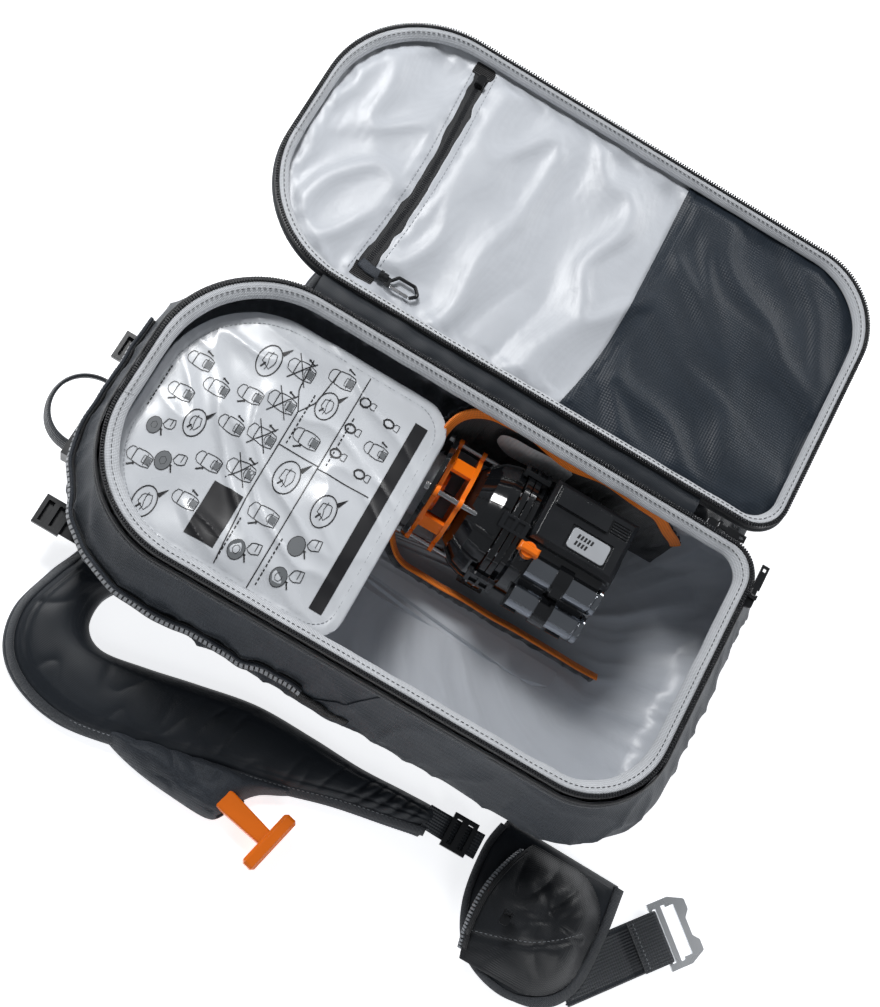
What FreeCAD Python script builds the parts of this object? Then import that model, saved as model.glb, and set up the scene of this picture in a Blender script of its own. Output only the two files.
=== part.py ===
"""Avalanche airbag backpack, lying on its back panel with the front panel unzipped and folded open.

Millimetres. The origin lies on the floor, under the middle of the back padding. +X runs from the top of
the pack to its hip belt, +Y from the free side to the side on which the front panel hinges, +Z up from
the wearer's back to the front panel.
"""
import FreeCAD, Part
import math
import os

V = FreeCAD.Vector
UP = V(0, 0, 1)
X_AXIS = V(1, 0, 0)
Y_AXIS = V(0, 1, 0)
os.makedirs("parts", exist_ok=True)

# ---------------------------------------------------------------- driving dimensions
RIM_HALF_LENGTH = 268.0      # zip line of the main opening
RIM_HALF_WIDTH = 132.0
RIM_HEIGHT = 168.0           # the zip line stands this far above the floor
BULGE_TOP = 20.0             # how far the walls stand out past the zip line, at the top end
BULGE_BOTTOM = 28.0          # at the hip belt end
BULGE_SIDE = 20.0            # and at the two long sides
WALL = 3.0                   # padded shell fabric
PAD_THICKNESS = 24.0         # back padding between the floor and the shell
TAPE_HEIGHT = 8.0            # main zip tape, stands on the rim
TAPE_THICKNESS = 3.0
HINGE_Y = 141.0              # fold line of the front panel
HINGE_Z = 169.0
HINGE_GAP = 9.0              # fold line to the zip line on either side
PANEL_DEPTH = 34.0           # depth of the front panel's tray
PANEL_WIDTH = 270.0
LINING = 1.0
CLEAR = 0.4                  # between separate layers

STRAP_AXIS_Y = 150.0         # both ends of a shoulder strap are sewn on this line
STRAP_AXIS_Z = 14.0
FIN_AXIS_Y = 141.0           # seam of a hip fin
FIN_AXIS_Z = 14.0

INFLATOR_Y = 60.0            # axis of the fan unit, along X
INFLATOR_Z = 92.0
FAN_RADIUS = 54.0
COLLAR_X = -10.0             # the duct is clipped on here
BELL_X = 24.0                # mouth of the intake bell
HOUSING_LENGTH = 92.0        # motor and electronics


# ---------------------------------------------------------------- helpers
def save(name, shape):
    """Writes one sub-part, and stops on a solid that is not valid."""
    solids = shape.Solids
    if not solids or not all(s.isValid() and s.Volume > 0 for s in solids):
        raise ValueError(name + " is not a valid solid")
    shape.exportStep("parts/" + name + ".step")
    print(name, len(solids), "solids", round(shape.Volume / 1000.0, 2), "cm3")


def fuse(shapes):
    shapes = list(shapes)
    return shapes[0].multiFuse(shapes[1:]).removeSplitter() if len(shapes) > 1 else shapes[0]


def box(x0, x1, y0, y1, z0, z1):
    return Part.makeBox(x1 - x0, y1 - y0, z1 - z0, V(x0, y0, z0))


def cylinder_x(radius, x0, x1, y, z):
    return Part.makeCylinder(radius, x1 - x0, V(x0, y, z), X_AXIS)


def ring_x(outer, inner, x0, x1, y, z):
    return cylinder_x(outer, x0, x1, y, z).cut(cylinder_x(inner, x0 - 1, x1 + 1, y, z))


def cylinder_z(radius, x, y, z0, z1):
    return Part.makeCylinder(radius, z1 - z0, V(x, y, z0))


def mirrored(shape):
    """The same piece on the other side of the pack."""
    return shape.mirror(V(0, 0, 0), Y_AXIS)


def rounded_outline(x0, x1, y0, y1, z, radii):
    """A rounded rectangle. radii: (x0,y0), (x1,y0), (x1,y1), (x0,y1) corners."""
    a, b, c, d = radii
    corners = [(x0, y0, a, 180), (x1, y0, b, 270), (x1, y1, c, 0), (x0, y1, d, 90)]
    signs = [(1, 1), (-1, 1), (-1, -1), (1, -1)]
    arcs = []
    for (x, y, r, start), (sx, sy) in zip(corners, signs):
        centre = V(x + sx * r, y + sy * r, z)
        at = [V(centre.x + r * math.cos(math.radians(t)), centre.y + r * math.sin(math.radians(t)), z)
              for t in (start, start + 45, start + 90)]
        arcs.append(Part.Arc(*at))
    edges = []
    for arc, following in zip(arcs, arcs[1:] + arcs[:1]):
        edges.append(arc.toShape())
        edges.append(Part.LineSegment(arc.EndPoint, following.StartPoint).toShape())
    return Part.Wire(edges)


def plate(outline, thickness):
    return Part.Face(outline).extrude(V(0, 0, thickness))


def tube_path(points, radius):
    """Straight runs joined by tangent arcs, as a wire."""
    points = [V(*p) for p in points]
    edges, at = [], points[0]
    for before, corner, after in zip(points, points[1:], points[2:]):
        u, v = (before - corner).normalize(), (after - corner).normalize()
        half = math.acos(max(-1.0, min(1.0, u.dot(v)))) / 2
        back = radius / math.tan(half)
        start, end = corner + u * back, corner + v * back
        middle = (u + v).normalize()
        centre = corner + middle * (radius / math.sin(half))
        if (start - at).Length > 1e-6:
            edges.append(Part.LineSegment(at, start).toShape())
        edges.append(Part.Arc(start, centre - middle * radius, end).toShape())
        at = end
    edges.append(Part.LineSegment(at, points[-1]).toShape())
    return Part.Wire(edges)


def tube(points, bend, radius):
    path = tube_path(points, bend)
    start = V(*points[0])
    section = Part.Wire(Part.makeCircle(radius, start, V(*points[1]) - start))
    return path.makePipeShell([section], True, False)


# ---------------------------------------------------------------- the pack body
TOP_RADIUS, NEAR_RADIUS, FAR_RADIUS = 100.0, 72.0, 30.0


def body_outline(z, grow_top, grow_bottom, grow_side, inset=0.0):
    """Outline of the body at a height; the near side is -Y."""
    radii = [max(8.0, r + (grow_side - inset) * 0.6)
             for r in (TOP_RADIUS, NEAR_RADIUS, FAR_RADIUS, TOP_RADIUS)]
    return rounded_outline(-RIM_HALF_LENGTH - grow_top + inset, RIM_HALF_LENGTH + grow_bottom - inset,
                           -RIM_HALF_WIDTH - grow_side + inset, RIM_HALF_WIDTH + grow_side - inset, z, radii)


RIM_TOP = RIM_HEIGHT - TAPE_HEIGHT
SHARES = ((PAD_THICKNESS, 0.15), (52.0, 1.0), (112.0, 0.72), (RIM_TOP, 0.08))


def body_loft(inset, bottom, top):
    """The body as a solid, shrunk by inset and cut off at bottom; its last outline sits at top."""
    outlines = []
    for i, (z, share) in enumerate(SHARES):
        z = top if i == len(SHARES) - 1 else z
        outlines.append(body_outline(z, BULGE_TOP * share, BULGE_BOTTOM * share, BULGE_SIDE * share, inset))
    solid = Part.makeLoft(outlines, True, False)
    return solid.cut(box(-400, 400, -250, 250, 0, bottom)) if bottom > PAD_THICKNESS else solid


shell_floor = PAD_THICKNESS + WALL
main_shell = body_loft(0, PAD_THICKNESS, RIM_TOP).cut(body_loft(WALL, shell_floor, RIM_TOP + 0.01))
save("main_shell", main_shell)

frame_sheet_z = shell_floor + CLEAR
FRAME_SHEET = 2.0
frame_sheet = plate(rounded_outline(-245, 245, -112, 112, frame_sheet_z, [70, 50, 50, 70]), FRAME_SHEET)

STAY = 2.6
lining_floor = frame_sheet_z + FRAME_SHEET + STAY
lining_inset = WALL + CLEAR
inner_lining = body_loft(lining_inset, lining_floor, RIM_TOP).cut(
    body_loft(lining_inset + LINING, lining_floor + LINING, RIM_TOP + 0.01))
save("inner_lining", inner_lining)
inside_floor = lining_floor + LINING

rim_outer = body_outline(RIM_TOP, 0, 0, 0)
rim_inner = body_outline(RIM_TOP - 1, 0, 0, 0, TAPE_THICKNESS)
save("main_zip_lower", plate(rim_outer, TAPE_HEIGHT).cut(plate(rim_inner, TAPE_HEIGHT + 2)))

# back padding: three ribs on one pad, and a lumbar pad
GROOVE = 8.0
back_pad = plate(rounded_outline(-232, 150, -112, 112, 0, [50, 18, 18, 50]), PAD_THICKNESS)
for y in (-46.0, 36.0):
    back_pad = back_pad.cut(box(-240, 160, y, y + 10, -1, GROOVE))
save("back_pad", back_pad)
save("lumbar_pad", plate(rounded_outline(160, 262, -112, 112, 0, [18, 40, 40, 18]), PAD_THICKNESS))

# plastic frame sheet with two aluminium stays clipped on it, under the lining
stays = [box(-210, 210, y, y + 12, frame_sheet_z + FRAME_SHEET, lining_floor) for y in (-66, 54)]
save("back_frame", Part.makeCompound([frame_sheet] + stays))

# burst zip: the seam that tears open for the airbag, along the near side and round the top
BURST_Z = 96.0
burst_wall = body_outline(BURST_Z, BULGE_TOP * 0.86, BULGE_BOTTOM * 0.86, BULGE_SIDE * 0.86, -2.2)
burst_zip = plate(burst_wall, 12.0).cut(body_loft(-0.3, PAD_THICKNESS, RIM_TOP))
burst_zip = burst_zip.common(box(-400, -20, -300, 60, 0, 200))
save("burst_zip", max(burst_zip.Solids, key=lambda s: s.Volume))

# the folded airbag in the top half, and the duct that feeds it
AIRBAG_TOP = 130.0
airbag = Part.makeLoft([
    rounded_outline(-236, -42, -104, 100, inside_floor + 3, [60, 18, 18, 60]),
    rounded_outline(-244, -34, -112, 104, 70, [66, 24, 24, 66]),
    rounded_outline(-236, -40, -104, 98, AIRBAG_TOP, [60, 18, 18, 60])], True, False)
DUCT_RADIUS = 30.0
duct = ring_x(DUCT_RADIUS, DUCT_RADIUS - 1.5, -36, COLLAR_X, INFLATOR_Y, INFLATOR_Z)
airbag = airbag.cut(cylinder_x(DUCT_RADIUS + CLEAR, -38, -10, INFLATOR_Y, INFLATOR_Z))
save("airbag_bundle", airbag)
save("air_duct", duct)

# sleeve that holds the inflator: a wall on three sides whose top edge slants up to the far side
SLEEVE = 1.6
SLEEVE_NEAR_Y, SLEEVE_FAR_Y = -6.0, 124.0
SLEEVE_X0, SLEEVE_X1 = -22.0, 214.0
sleeve_out = rounded_outline(SLEEVE_X0, SLEEVE_X1, SLEEVE_NEAR_Y, SLEEVE_FAR_Y, inside_floor + 0.3, [34, 30, 30, 34])
sleeve_in = rounded_outline(SLEEVE_X0 + SLEEVE, SLEEVE_X1 - SLEEVE, SLEEVE_NEAR_Y + SLEEVE, SLEEVE_FAR_Y - SLEEVE,
                            inside_floor - 1, [32, 28, 28, 32])
sleeve_wall = plate(sleeve_out, 140).cut(plate(sleeve_in, 145))
NEAR_EDGE_Z, FAR_EDGE_Z = 66.0, 158.0
slope = Part.Face(Part.makePolygon([V(-40, SLEEVE_NEAR_Y - 30, NEAR_EDGE_Z - 21), V(-40, SLEEVE_FAR_Y + 2, FAR_EDGE_Z),
                                    V(-40, SLEEVE_FAR_Y + 2, 260), V(-40, SLEEVE_NEAR_Y - 30, 260),
                                    V(-40, SLEEVE_NEAR_Y - 30, NEAR_EDGE_Z - 21)]))
above = slope.extrude(V(300, 0, 0))
right_end = box(206, 240, -20, 140, 60, 300)
duct_way = cylinder_x(DUCT_RADIUS + CLEAR, -40, -5, INFLATOR_Y, INFLATOR_Z)
sleeve_wall = sleeve_wall.cut(above).cut(right_end).cut(duct_way)
BINDING = 5.0
save("inflator_sleeve", sleeve_wall.cut(above.translated(V(0, 0, -BINDING))))
save("sleeve_binding", sleeve_wall.common(above.translated(V(0, 0, -BINDING))))


# ---------------------------------------------------------------- the inflator
def revolved(points, x0):
    """A solid of revolution about the fan's axis from (along, radius) points."""
    line = [V(x0 + a, INFLATOR_Y, INFLATOR_Z + r) for a, r in points]
    face = Part.Face(Part.makePolygon(line + [line[0]]))
    return face.revolve(V(x0, INFLATOR_Y, INFLATOR_Z), X_AXIS, 360)


def around(shape, turns):
    """Copies of a shape turned about the fan's axis."""
    copies = []
    for turn in turns:
        copy = shape.copy()
        copy.rotate(V(0, INFLATOR_Y, INFLATOR_Z), X_AXIS, turn)
        copies.append(copy)
    return copies


# collar that the duct is clipped to, the valve cage, and the rods that tie them to the bell
CAGE_RADIUS, CAGE_BORE = 41.0, 32.0
CAGE_X1 = BELL_X - 2.0
ROD_RADIUS, ROD_CIRCLE = 2.4, 45.0
ROD_TURNS = (20, 110, 200, 290)
collar = revolved([(0, 48), (4, 50), (5, 48), (5, 28), (0, 28)], COLLAR_X)
rod = cylinder_x(ROD_RADIUS, COLLAR_X - 3, BELL_X + 15, INFLATOR_Y, INFLATOR_Z + ROD_CIRCLE)
nut = cylinder_x(4.2, COLLAR_X - 4, COLLAR_X - 0.1, INFLATOR_Y, INFLATOR_Z + ROD_CIRCLE)
rod_hole = cylinder_x(ROD_RADIUS, -60, 60, INFLATOR_Y, INFLATOR_Z + ROD_CIRCLE)
rod_holes = Part.makeCompound(around(rod_hole, ROD_TURNS))
save("duct_collar", collar.cut(rod_holes).cut(duct))
save("guide_rods", Part.makeCompound(around(fuse([rod, nut]), ROD_TURNS)))

cage_x0 = COLLAR_X + 5.1
ears = around(cylinder_x(5.5, cage_x0, cage_x0 + 4, INFLATOR_Y, INFLATOR_Z + ROD_CIRCLE - 1), ROD_TURNS)
ears += around(cylinder_x(5.5, CAGE_X1 - 4, CAGE_X1, INFLATOR_Y, INFLATOR_Z + ROD_CIRCLE - 1), ROD_TURNS)
web = box(cage_x0, CAGE_X1, INFLATOR_Y - 7, INFLATOR_Y + 7, INFLATOR_Z + 36, INFLATOR_Z + 40)
cage = fuse([ring_x(CAGE_RADIUS, CAGE_BORE, cage_x0, cage_x0 + 4, INFLATOR_Y, INFLATOR_Z),
             ring_x(CAGE_RADIUS, CAGE_BORE, CAGE_X1 - 4, CAGE_X1, INFLATOR_Y, INFLATOR_Z)]
            + ears + around(web, (65, 155, 245, 335)))
save("valve_cage", cage.cut(rod_holes))

# the valve plate slides in the cage: closed against the collar by its spring, blown open by the fan
valve = revolved([(0, 0), (0, 31), (2.5, 31), (2.5, 20), (8, 18), (8, 0)], cage_x0 + 0.5)
save("valve_plate", valve)

# the bell: intake dome with raised ribs
BELL_WALL = 2.2
BELL_OUTER = [(0, 34), (6, 42), (16, 50), (28, FAN_RADIUS), (36, FAN_RADIUS)]
bell_inner = [(36, FAN_RADIUS - BELL_WALL), (28, FAN_RADIUS - BELL_WALL), (16, 50 - BELL_WALL),
              (6, 42 - BELL_WALL), (0, 34 - BELL_WALL)]
rib_points = [(1, 33), (6, 43.6), (16, 51.6), (28, FAN_RADIUS + 1.6), (34, FAN_RADIUS + 1.6), (34, 50), (16, 46)]
rib = revolved(rib_points, BELL_X).common(box(BELL_X, BELL_X + 36, INFLATOR_Y - 1.2, INFLATOR_Y + 1.2, 90, 170))
bell = fuse([revolved(BELL_OUTER + bell_inner, BELL_X)] + around(rib, range(0, 360, 30)))
bell = bell.cut(revolved([(-1, 0), (-1, 34 - BELL_WALL), (0, 34 - BELL_WALL)] + bell_inner[::-1][1:]
                         + [(37, FAN_RADIUS - BELL_WALL), (37, 0)], BELL_X))
save("intake_bell", bell.cut(rod_holes))

# clamp rings with over-centre latches and their screws
RING_X = BELL_X + 37.0
rings = [revolved([(0, FAN_RADIUS - 3), (0, FAN_RADIUS + 3), (1, FAN_RADIUS + 4), (6, FAN_RADIUS + 4),
                   (6, FAN_RADIUS - 3)], RING_X),
         revolved([(7, FAN_RADIUS - 3), (7, FAN_RADIUS + 4), (12, FAN_RADIUS + 4), (13, FAN_RADIUS + 3),
                   (13, FAN_RADIUS - 3)], RING_X)]
LATCH_TURNS = (12, 72, 132, 252, 312)      # none below, where the lining is close
SCREW_TURNS = (42, 102, 162, 222, 282, 342)
latch_z = INFLATOR_Z + FAN_RADIUS + 4.2
latch = box(RING_X - 6, RING_X + 19, INFLATOR_Y - 7, INFLATOR_Y + 7, latch_z, latch_z + 4)
latch = latch.cut(box(RING_X - 2, RING_X + 5, INFLATOR_Y - 4.5, INFLATOR_Y + 4.5, latch_z + 2, latch_z + 9))
latch = latch.cut(box(RING_X + 8, RING_X + 15, INFLATOR_Y - 4.5, INFLATOR_Y + 4.5, latch_z + 2, latch_z + 9))
latch_hook = box(RING_X - 6, RING_X - 2.4, INFLATOR_Y - 7, INFLATOR_Y + 7, latch_z - 2.4, latch_z + 0.5)
save("ring_latches", Part.makeCompound(around(fuse([latch, latch_hook]), LATCH_TURNS)))
screw = cylinder_x(2.4, RING_X - 0.8, RING_X + 13.1, INFLATOR_Y, INFLATOR_Z + FAN_RADIUS)
screws = Part.makeCompound(around(screw, SCREW_TURNS))
save("ring_screws", screws)
save("clamp_rings", Part.makeCompound([ring.cut(screws) for ring in rings]))

# motor housing, closed at its far end, with a saddle for the control box and one for the capacitors
housing_x = RING_X + 13.2
housing_end = housing_x + HOUSING_LENGTH
HOUSING_RADIUS, HOUSING_WALL = 50.0, 2.6
housing = revolved([(0, 0), (0, FAN_RADIUS - 1), (5, FAN_RADIUS - 1), (9, HOUSING_RADIUS),
                    (HOUSING_LENGTH - 8, HOUSING_RADIUS), (HOUSING_LENGTH, HOUSING_RADIUS - 8),
                    (HOUSING_LENGTH, 0)], housing_x)
BOX_Y0, BOX_Y1, BOX_TOP = INFLATOR_Y - 13.0, INFLATOR_Y + 45.0, 152.0
saddle = box(housing_x + 9, housing_end - 3, BOX_Y0, BOX_Y1, 100, BOX_TOP - 11)
CAP_RADIUS = 13.0
CAPS = ((INFLATOR_Y - 27.0, 127.0), (INFLATOR_Y - 51.0, 109.0))
cradle = fuse([cylinder_x(CAP_RADIUS + 2, housing_x + a, housing_x + a + 14, y, z).common(
    box(housing_x, housing_end, y - 30, y + 30, z - 30, z - 1)) for a in (20, 64) for y, z in CAPS])
PORT = (housing_x + 14.0, INFLATOR_Y - 24.0)
knob_post = cylinder_z(6.5, PORT[0], PORT[1], 120, 142)
housing = fuse([housing, saddle, cradle, knob_post])
bore = revolved([(-1, 0), (-1, FAN_RADIUS - 4), (9, HOUSING_RADIUS - HOUSING_WALL),
                 (HOUSING_LENGTH - 9, HOUSING_RADIUS - HOUSING_WALL),
                 (HOUSING_LENGTH - 3, HOUSING_RADIUS - 11), (HOUSING_LENGTH - 3, 0)], housing_x)
capacitors = [cylinder_x(CAP_RADIUS, housing_x + 22, housing_end - 2, y, z) for y, z in CAPS]
cap_seats = Part.makeCompound([cylinder_x(CAP_RADIUS, housing_x + 22, housing_end + 9, y, z) for y, z in CAPS])
housing = housing.cut(bore).cut(cap_seats)
housing = max(housing.Solids, key=lambda s: s.Volume)
crimps = [ring_x(CAP_RADIUS + 1, CAP_RADIUS - 1.6, housing_x + 84, housing_x + 85.5, y, z) for y, z in CAPS]
capacitors = [c.cut(crimp) for c, crimp in zip(capacitors, crimps)]
save("supercapacitors", Part.makeCompound([max(c.Solids, key=lambda s: s.Volume) for c in capacitors]))
clip = fuse([ring_x(CAP_RADIUS + 2.4, CAP_RADIUS + 0.2, housing_x + 46, housing_x + 60, y, z) for y, z in CAPS])
clip = clip.fuse(box(housing_x + 48, housing_x + 58, CAPS[0][0] - 19, CAPS[0][0] - 5, 133.5, 139))
clip = clip.cut(cap_seats).cut(housing).cut(bore).cut(cylinder_x(HOUSING_RADIUS, housing_x, housing_end,
                                                                INFLATOR_Y, INFLATOR_Z))
save("motor_housing", Part.makeCompound([housing, max(clip.Solids, key=lambda s: s.Volume)]))

# control box: a cover over the board and the two backup cells
box_x0, box_x1 = housing_x + 9, housing_end - 3
cover = box(box_x0, box_x1, BOX_Y0, BOX_Y1, BOX_TOP - 10.8, BOX_TOP)
cover = cover.makeChamfer(4.0, [e for e in cover.Edges if e.BoundBox.ZMin > BOX_TOP - 0.1])
cover = cover.fuse(box(box_x0 + 6, box_x1 - 24, BOX_Y1 - 22, BOX_Y1 - 7, BOX_TOP - 1, BOX_TOP + 3))
for k in range(5):
    rib_y = BOX_Y1 - 20 + 2.6 * k
    cover = cover.cut(box(box_x1 - 22, box_x1 - 5, rib_y, rib_y + 1.2, BOX_TOP - 1, BOX_TOP + 1))
WINDOW = (box_x0 + 30, box_x0 + 66, BOX_Y0 + 8, BOX_Y0 + 27)
cover = cover.cut(box(WINDOW[0] - 2, WINDOW[1] + 2, WINDOW[2] - 2, WINDOW[3] + 2, BOX_TOP - 1.2, BOX_TOP + 9))
hollow = box(box_x0 + 2.5, box_x1 - 2.5, BOX_Y0 + 2.5, BOX_Y1 - 2.5, 100, BOX_TOP - 2.5)
cover = cover.cut(hollow).cut(cylinder_x(HOUSING_RADIUS + 0.2, housing_x, housing_end, INFLATOR_Y, INFLATOR_Z))
save("control_cover", cover.removeSplitter())
save("circuit_board", box(box_x0 + 4, box_x1 - 4, BOX_Y0 + 4, BOX_Y1 - 20, BOX_TOP - 9, BOX_TOP - 7.2))
cells = [cylinder_x(4.0, box_x0 + 8, box_x0 + 68, y, BOX_TOP - 6.6) for y in (BOX_Y1 - 15.5, BOX_Y1 - 7)]
save("backup_cells", Part.makeCompound(cells))
save("status_window", plate(rounded_outline(WINDOW[0], WINDOW[1], WINDOW[2], WINDOW[3],
                                            BOX_TOP - 1.2, [3] * 4), 1.8))

# rotary switch, and the cap of the charging port on the housing's end
knob = cylinder_z(7.0, PORT[0], PORT[1], 142.5, 150)
lever = box(PORT[0] - 9.4, PORT[0] + 9.4, PORT[1] - 3.8, PORT[1] + 3.8, 146, 154)
knob = knob.fuse(lever.makeChamfer(1.6, [e for e in lever.Edges if e.BoundBox.ZMin > 153.9]))
save("power_knob", knob.removeSplitter())
CAP_HINGE = V(housing_end + 2.2, 0, 101.0)
save("charge_cap", box(housing_end + 0.6, housing_end + 3.4, INFLATOR_Y - 10, INFLATOR_Y + 10, 80, 100).fuse(
    Part.makeCylinder(1.6, 20, V(CAP_HINGE.x, INFLATOR_Y - 10, CAP_HINGE.z), Y_AXIS)).removeSplitter())

# fan and motor: the hub's shaft runs in the motor's bore
SHAFT_RADIUS, HUB_RADIUS, BLADE_TIP = 3.0, 15.0, 46.0
fan_x = RING_X - 4.0
hub = revolved([(-6, 0), (-4, 8), (2, HUB_RADIUS), (14, HUB_RADIUS), (14, 0)], fan_x)
shaft = cylinder_x(SHAFT_RADIUS, fan_x + 10, housing_x + 40, INFLATOR_Y, INFLATOR_Z)
blade = box(fan_x, fan_x + 12, INFLATOR_Y - 0.9, INFLATOR_Y + 0.9, INFLATOR_Z + HUB_RADIUS - 4, INFLATOR_Z + BLADE_TIP)
blade.rotate(V(fan_x + 6, INFLATOR_Y, INFLATOR_Z), UP, 32)
save("fan_impeller", fuse([hub, shaft] + around(blade, range(0, 360, 40))))
motor_plate = revolved([(1, SHAFT_RADIUS + 0.05), (1, FAN_RADIUS - 5.2), (3, FAN_RADIUS - 5.6),
                        (3, 22), (44, 22), (44, SHAFT_RADIUS + 0.05)], housing_x)
save("fan_motor", motor_plate)


# ---------------------------------------------------------------- airbag flap with the folding guide
FLAP_X0, FLAP_X1, FLAP_Z = -246.0, -24.0, 138.0
FLAP = 1.5
save("airbag_flap", plate(rounded_outline(FLAP_X0, FLAP_X1, -118, 106, FLAP_Z, [84, 40, 40, 84]), FLAP))


# ---------------------------------------------------------------- front panel, open
PANEL_Y0 = HINGE_Y + HINGE_GAP
PANEL_Y1 = PANEL_Y0 + PANEL_WIDTH


def panel_outline(z, inset):
    radii = [max(8.0, r - inset * 0.5) for r in (TOP_RADIUS, FAR_RADIUS, NEAR_RADIUS, TOP_RADIUS)]
    return rounded_outline(-RIM_HALF_LENGTH + inset, RIM_HALF_LENGTH - inset,
                           PANEL_Y0 + inset, PANEL_Y1 - inset, z, radii)


def panel_loft(inset, bottom, top):
    shape = ((bottom, 24.0 + inset), (bottom + 12.0, 6.0 + inset), (top, inset))
    return Part.makeLoft([panel_outline(z, i) for z, i in shape], True, False)


panel_bottom = RIM_HEIGHT - PANEL_DEPTH
panel_shell = panel_loft(0, panel_bottom, RIM_TOP).cut(panel_loft(WALL, panel_bottom + WALL, RIM_TOP + 0.01))
save("panel_shell", panel_shell)
zip_upper = plate(panel_outline(RIM_TOP, 0), TAPE_HEIGHT).cut(plate(panel_outline(RIM_TOP - 1, TAPE_THICKNESS), 20))
save("main_zip_upper", zip_upper)
POCKET_SPLIT_X = 55.0
lining_z = 150.0
lining_all = plate(panel_outline(lining_z, 9), 1.4)
save("panel_lining", lining_all.common(box(-300, POCKET_SPLIT_X, 0, 500, 0, 300)))
pocket_all = plate(panel_outline(lining_z, 9), 2.4)
save("panel_pocket", pocket_all.common(box(POCKET_SPLIT_X + 0.5, 300, 0, 500, 0, 300)))
POCKET_ZIP_X = -150.0
tape_z = lining_z + 1.4
pocket_tape = box(POCKET_ZIP_X - 9, POCKET_ZIP_X + 9, 176, 402, tape_z, tape_z + 1.2)
key_tab = box(-159, -139, 174, 184, tape_z + 1.2, tape_z + 2.8)
save("pocket_zip_tape", pocket_tape.fuse(key_tab).removeSplitter())
slider_z = tape_z + 1.2 + CLEAR


def turned_about_z(shape, angle):
    shape = shape.copy()
    shape.rotate(V(0, 0, 0), UP, angle)
    return shape


PIN_X, PIN_Z = 4.0, 5.0


def slider_body(x, y, z, angle):
    """A zip slider with two lugs and a pin for its pull; angle turns the pull's end away from +X."""
    lugs = [box(PIN_X - 2, PIN_X + 2, side * 3.2 - 0.8, side * 3.2 + 0.8, 2, PIN_Z + 1.8) for side in (-1, 1)]
    pin = Part.makeCylinder(0.9, 6.4, V(PIN_X, -3.2, PIN_Z), Y_AXIS)
    body = fuse([plate(rounded_outline(-6, 6, -4, 4, 0, [2, 1, 1, 2]), 3)] + lugs + [pin])
    return turned_about_z(body, angle).translated(V(x, y, z))


def slider_pull(x, y, z, angle, length):
    """The pull tab on that pin."""
    eye = Part.makeCylinder(2.0, 4.2, V(PIN_X, -2.1, PIN_Z), Y_AXIS)
    tab = box(PIN_X + 1, PIN_X + length, -2.1, 2.1, PIN_Z - 0.8, PIN_Z + 0.8)
    tab = tab.fuse(box(PIN_X + 7, PIN_X + length, -3.4, 3.4, PIN_Z - 0.8, PIN_Z + 0.8))
    tab = tab.cut(box(PIN_X + length - 6, PIN_X + length - 2.5, -1.5, 1.5, 0, 9))
    pull = tab.fuse(eye).cut(Part.makeCylinder(1.2, 10, V(PIN_X, -5, PIN_Z), Y_AXIS)).removeSplitter()
    return turned_about_z(pull, angle).translated(V(x, y, z))


SLIDER_Y = 392.0
save("pocket_zip_slider", slider_body(POCKET_ZIP_X, SLIDER_Y, slider_z, -90))

# snap hook on that tab: eye, body and a sprung gate
HOOK_X, HOOK_Y, HOOK_Z = -135.0, 179.0, tape_z + 5.0
WIRE = 1.6
eye = ring_x(5.0, 3.0, HOOK_X - 3, HOOK_X, HOOK_Y, HOOK_Z)
body_path = [(HOOK_X - 1, HOOK_Y, HOOK_Z), (HOOK_X + 8, HOOK_Y, HOOK_Z), (HOOK_X + 13, HOOK_Y + 7, HOOK_Z),
             (HOOK_X + 29, HOOK_Y + 7, HOOK_Z), (HOOK_X + 35, HOOK_Y + 0.5, HOOK_Z), (HOOK_X + 29, HOOK_Y - 5, HOOK_Z)]
neck = cylinder_x(4.2, HOOK_X, HOOK_X + 5, HOOK_Y, HOOK_Z)
jaw = box(HOOK_X + 4, HOOK_X + 9, HOOK_Y - 6, HOOK_Y + 2, HOOK_Z - 1.6, HOOK_Z + 1.6)
save("key_hook", fuse([eye, neck, jaw, tube(body_path, 2.6, WIRE)]))
save("hook_gate", box(HOOK_X + 9.9, HOOK_X + 27.5, HOOK_Y - 6, HOOK_Y - 3.8, HOOK_Z - 1.1, HOOK_Z + 1.1))

# fabric fold that carries the front panel, sewn along the far wall
FOLD_X0, FOLD_X1 = -178.0, 196.0
fold_z = RIM_HEIGHT - 4
save("hinge_fold", box(FOLD_X0, FOLD_X1, RIM_HALF_WIDTH, HINGE_Y + 7, fold_z, fold_z + 2))


# ---------------------------------------------------------------- main zip sliders and their pulls
SLIDER_A = (216.0, RIM_HALF_WIDTH + 4.6)
SLIDER_B = (RIM_HALF_LENGTH + 4.6, 92.0)
slider_base_z = RIM_TOP + 1.0
save("zip_slider_hinge_side", slider_body(*SLIDER_A, slider_base_z, 0))
save("zip_slider_bottom", slider_body(*SLIDER_B, slider_base_z, 90))
save("zip_pull_hinge_side", slider_pull(*SLIDER_A, slider_base_z, 0, 26))
save("zip_pull_bottom", slider_pull(*SLIDER_B, slider_base_z, 90, 30))


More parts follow.
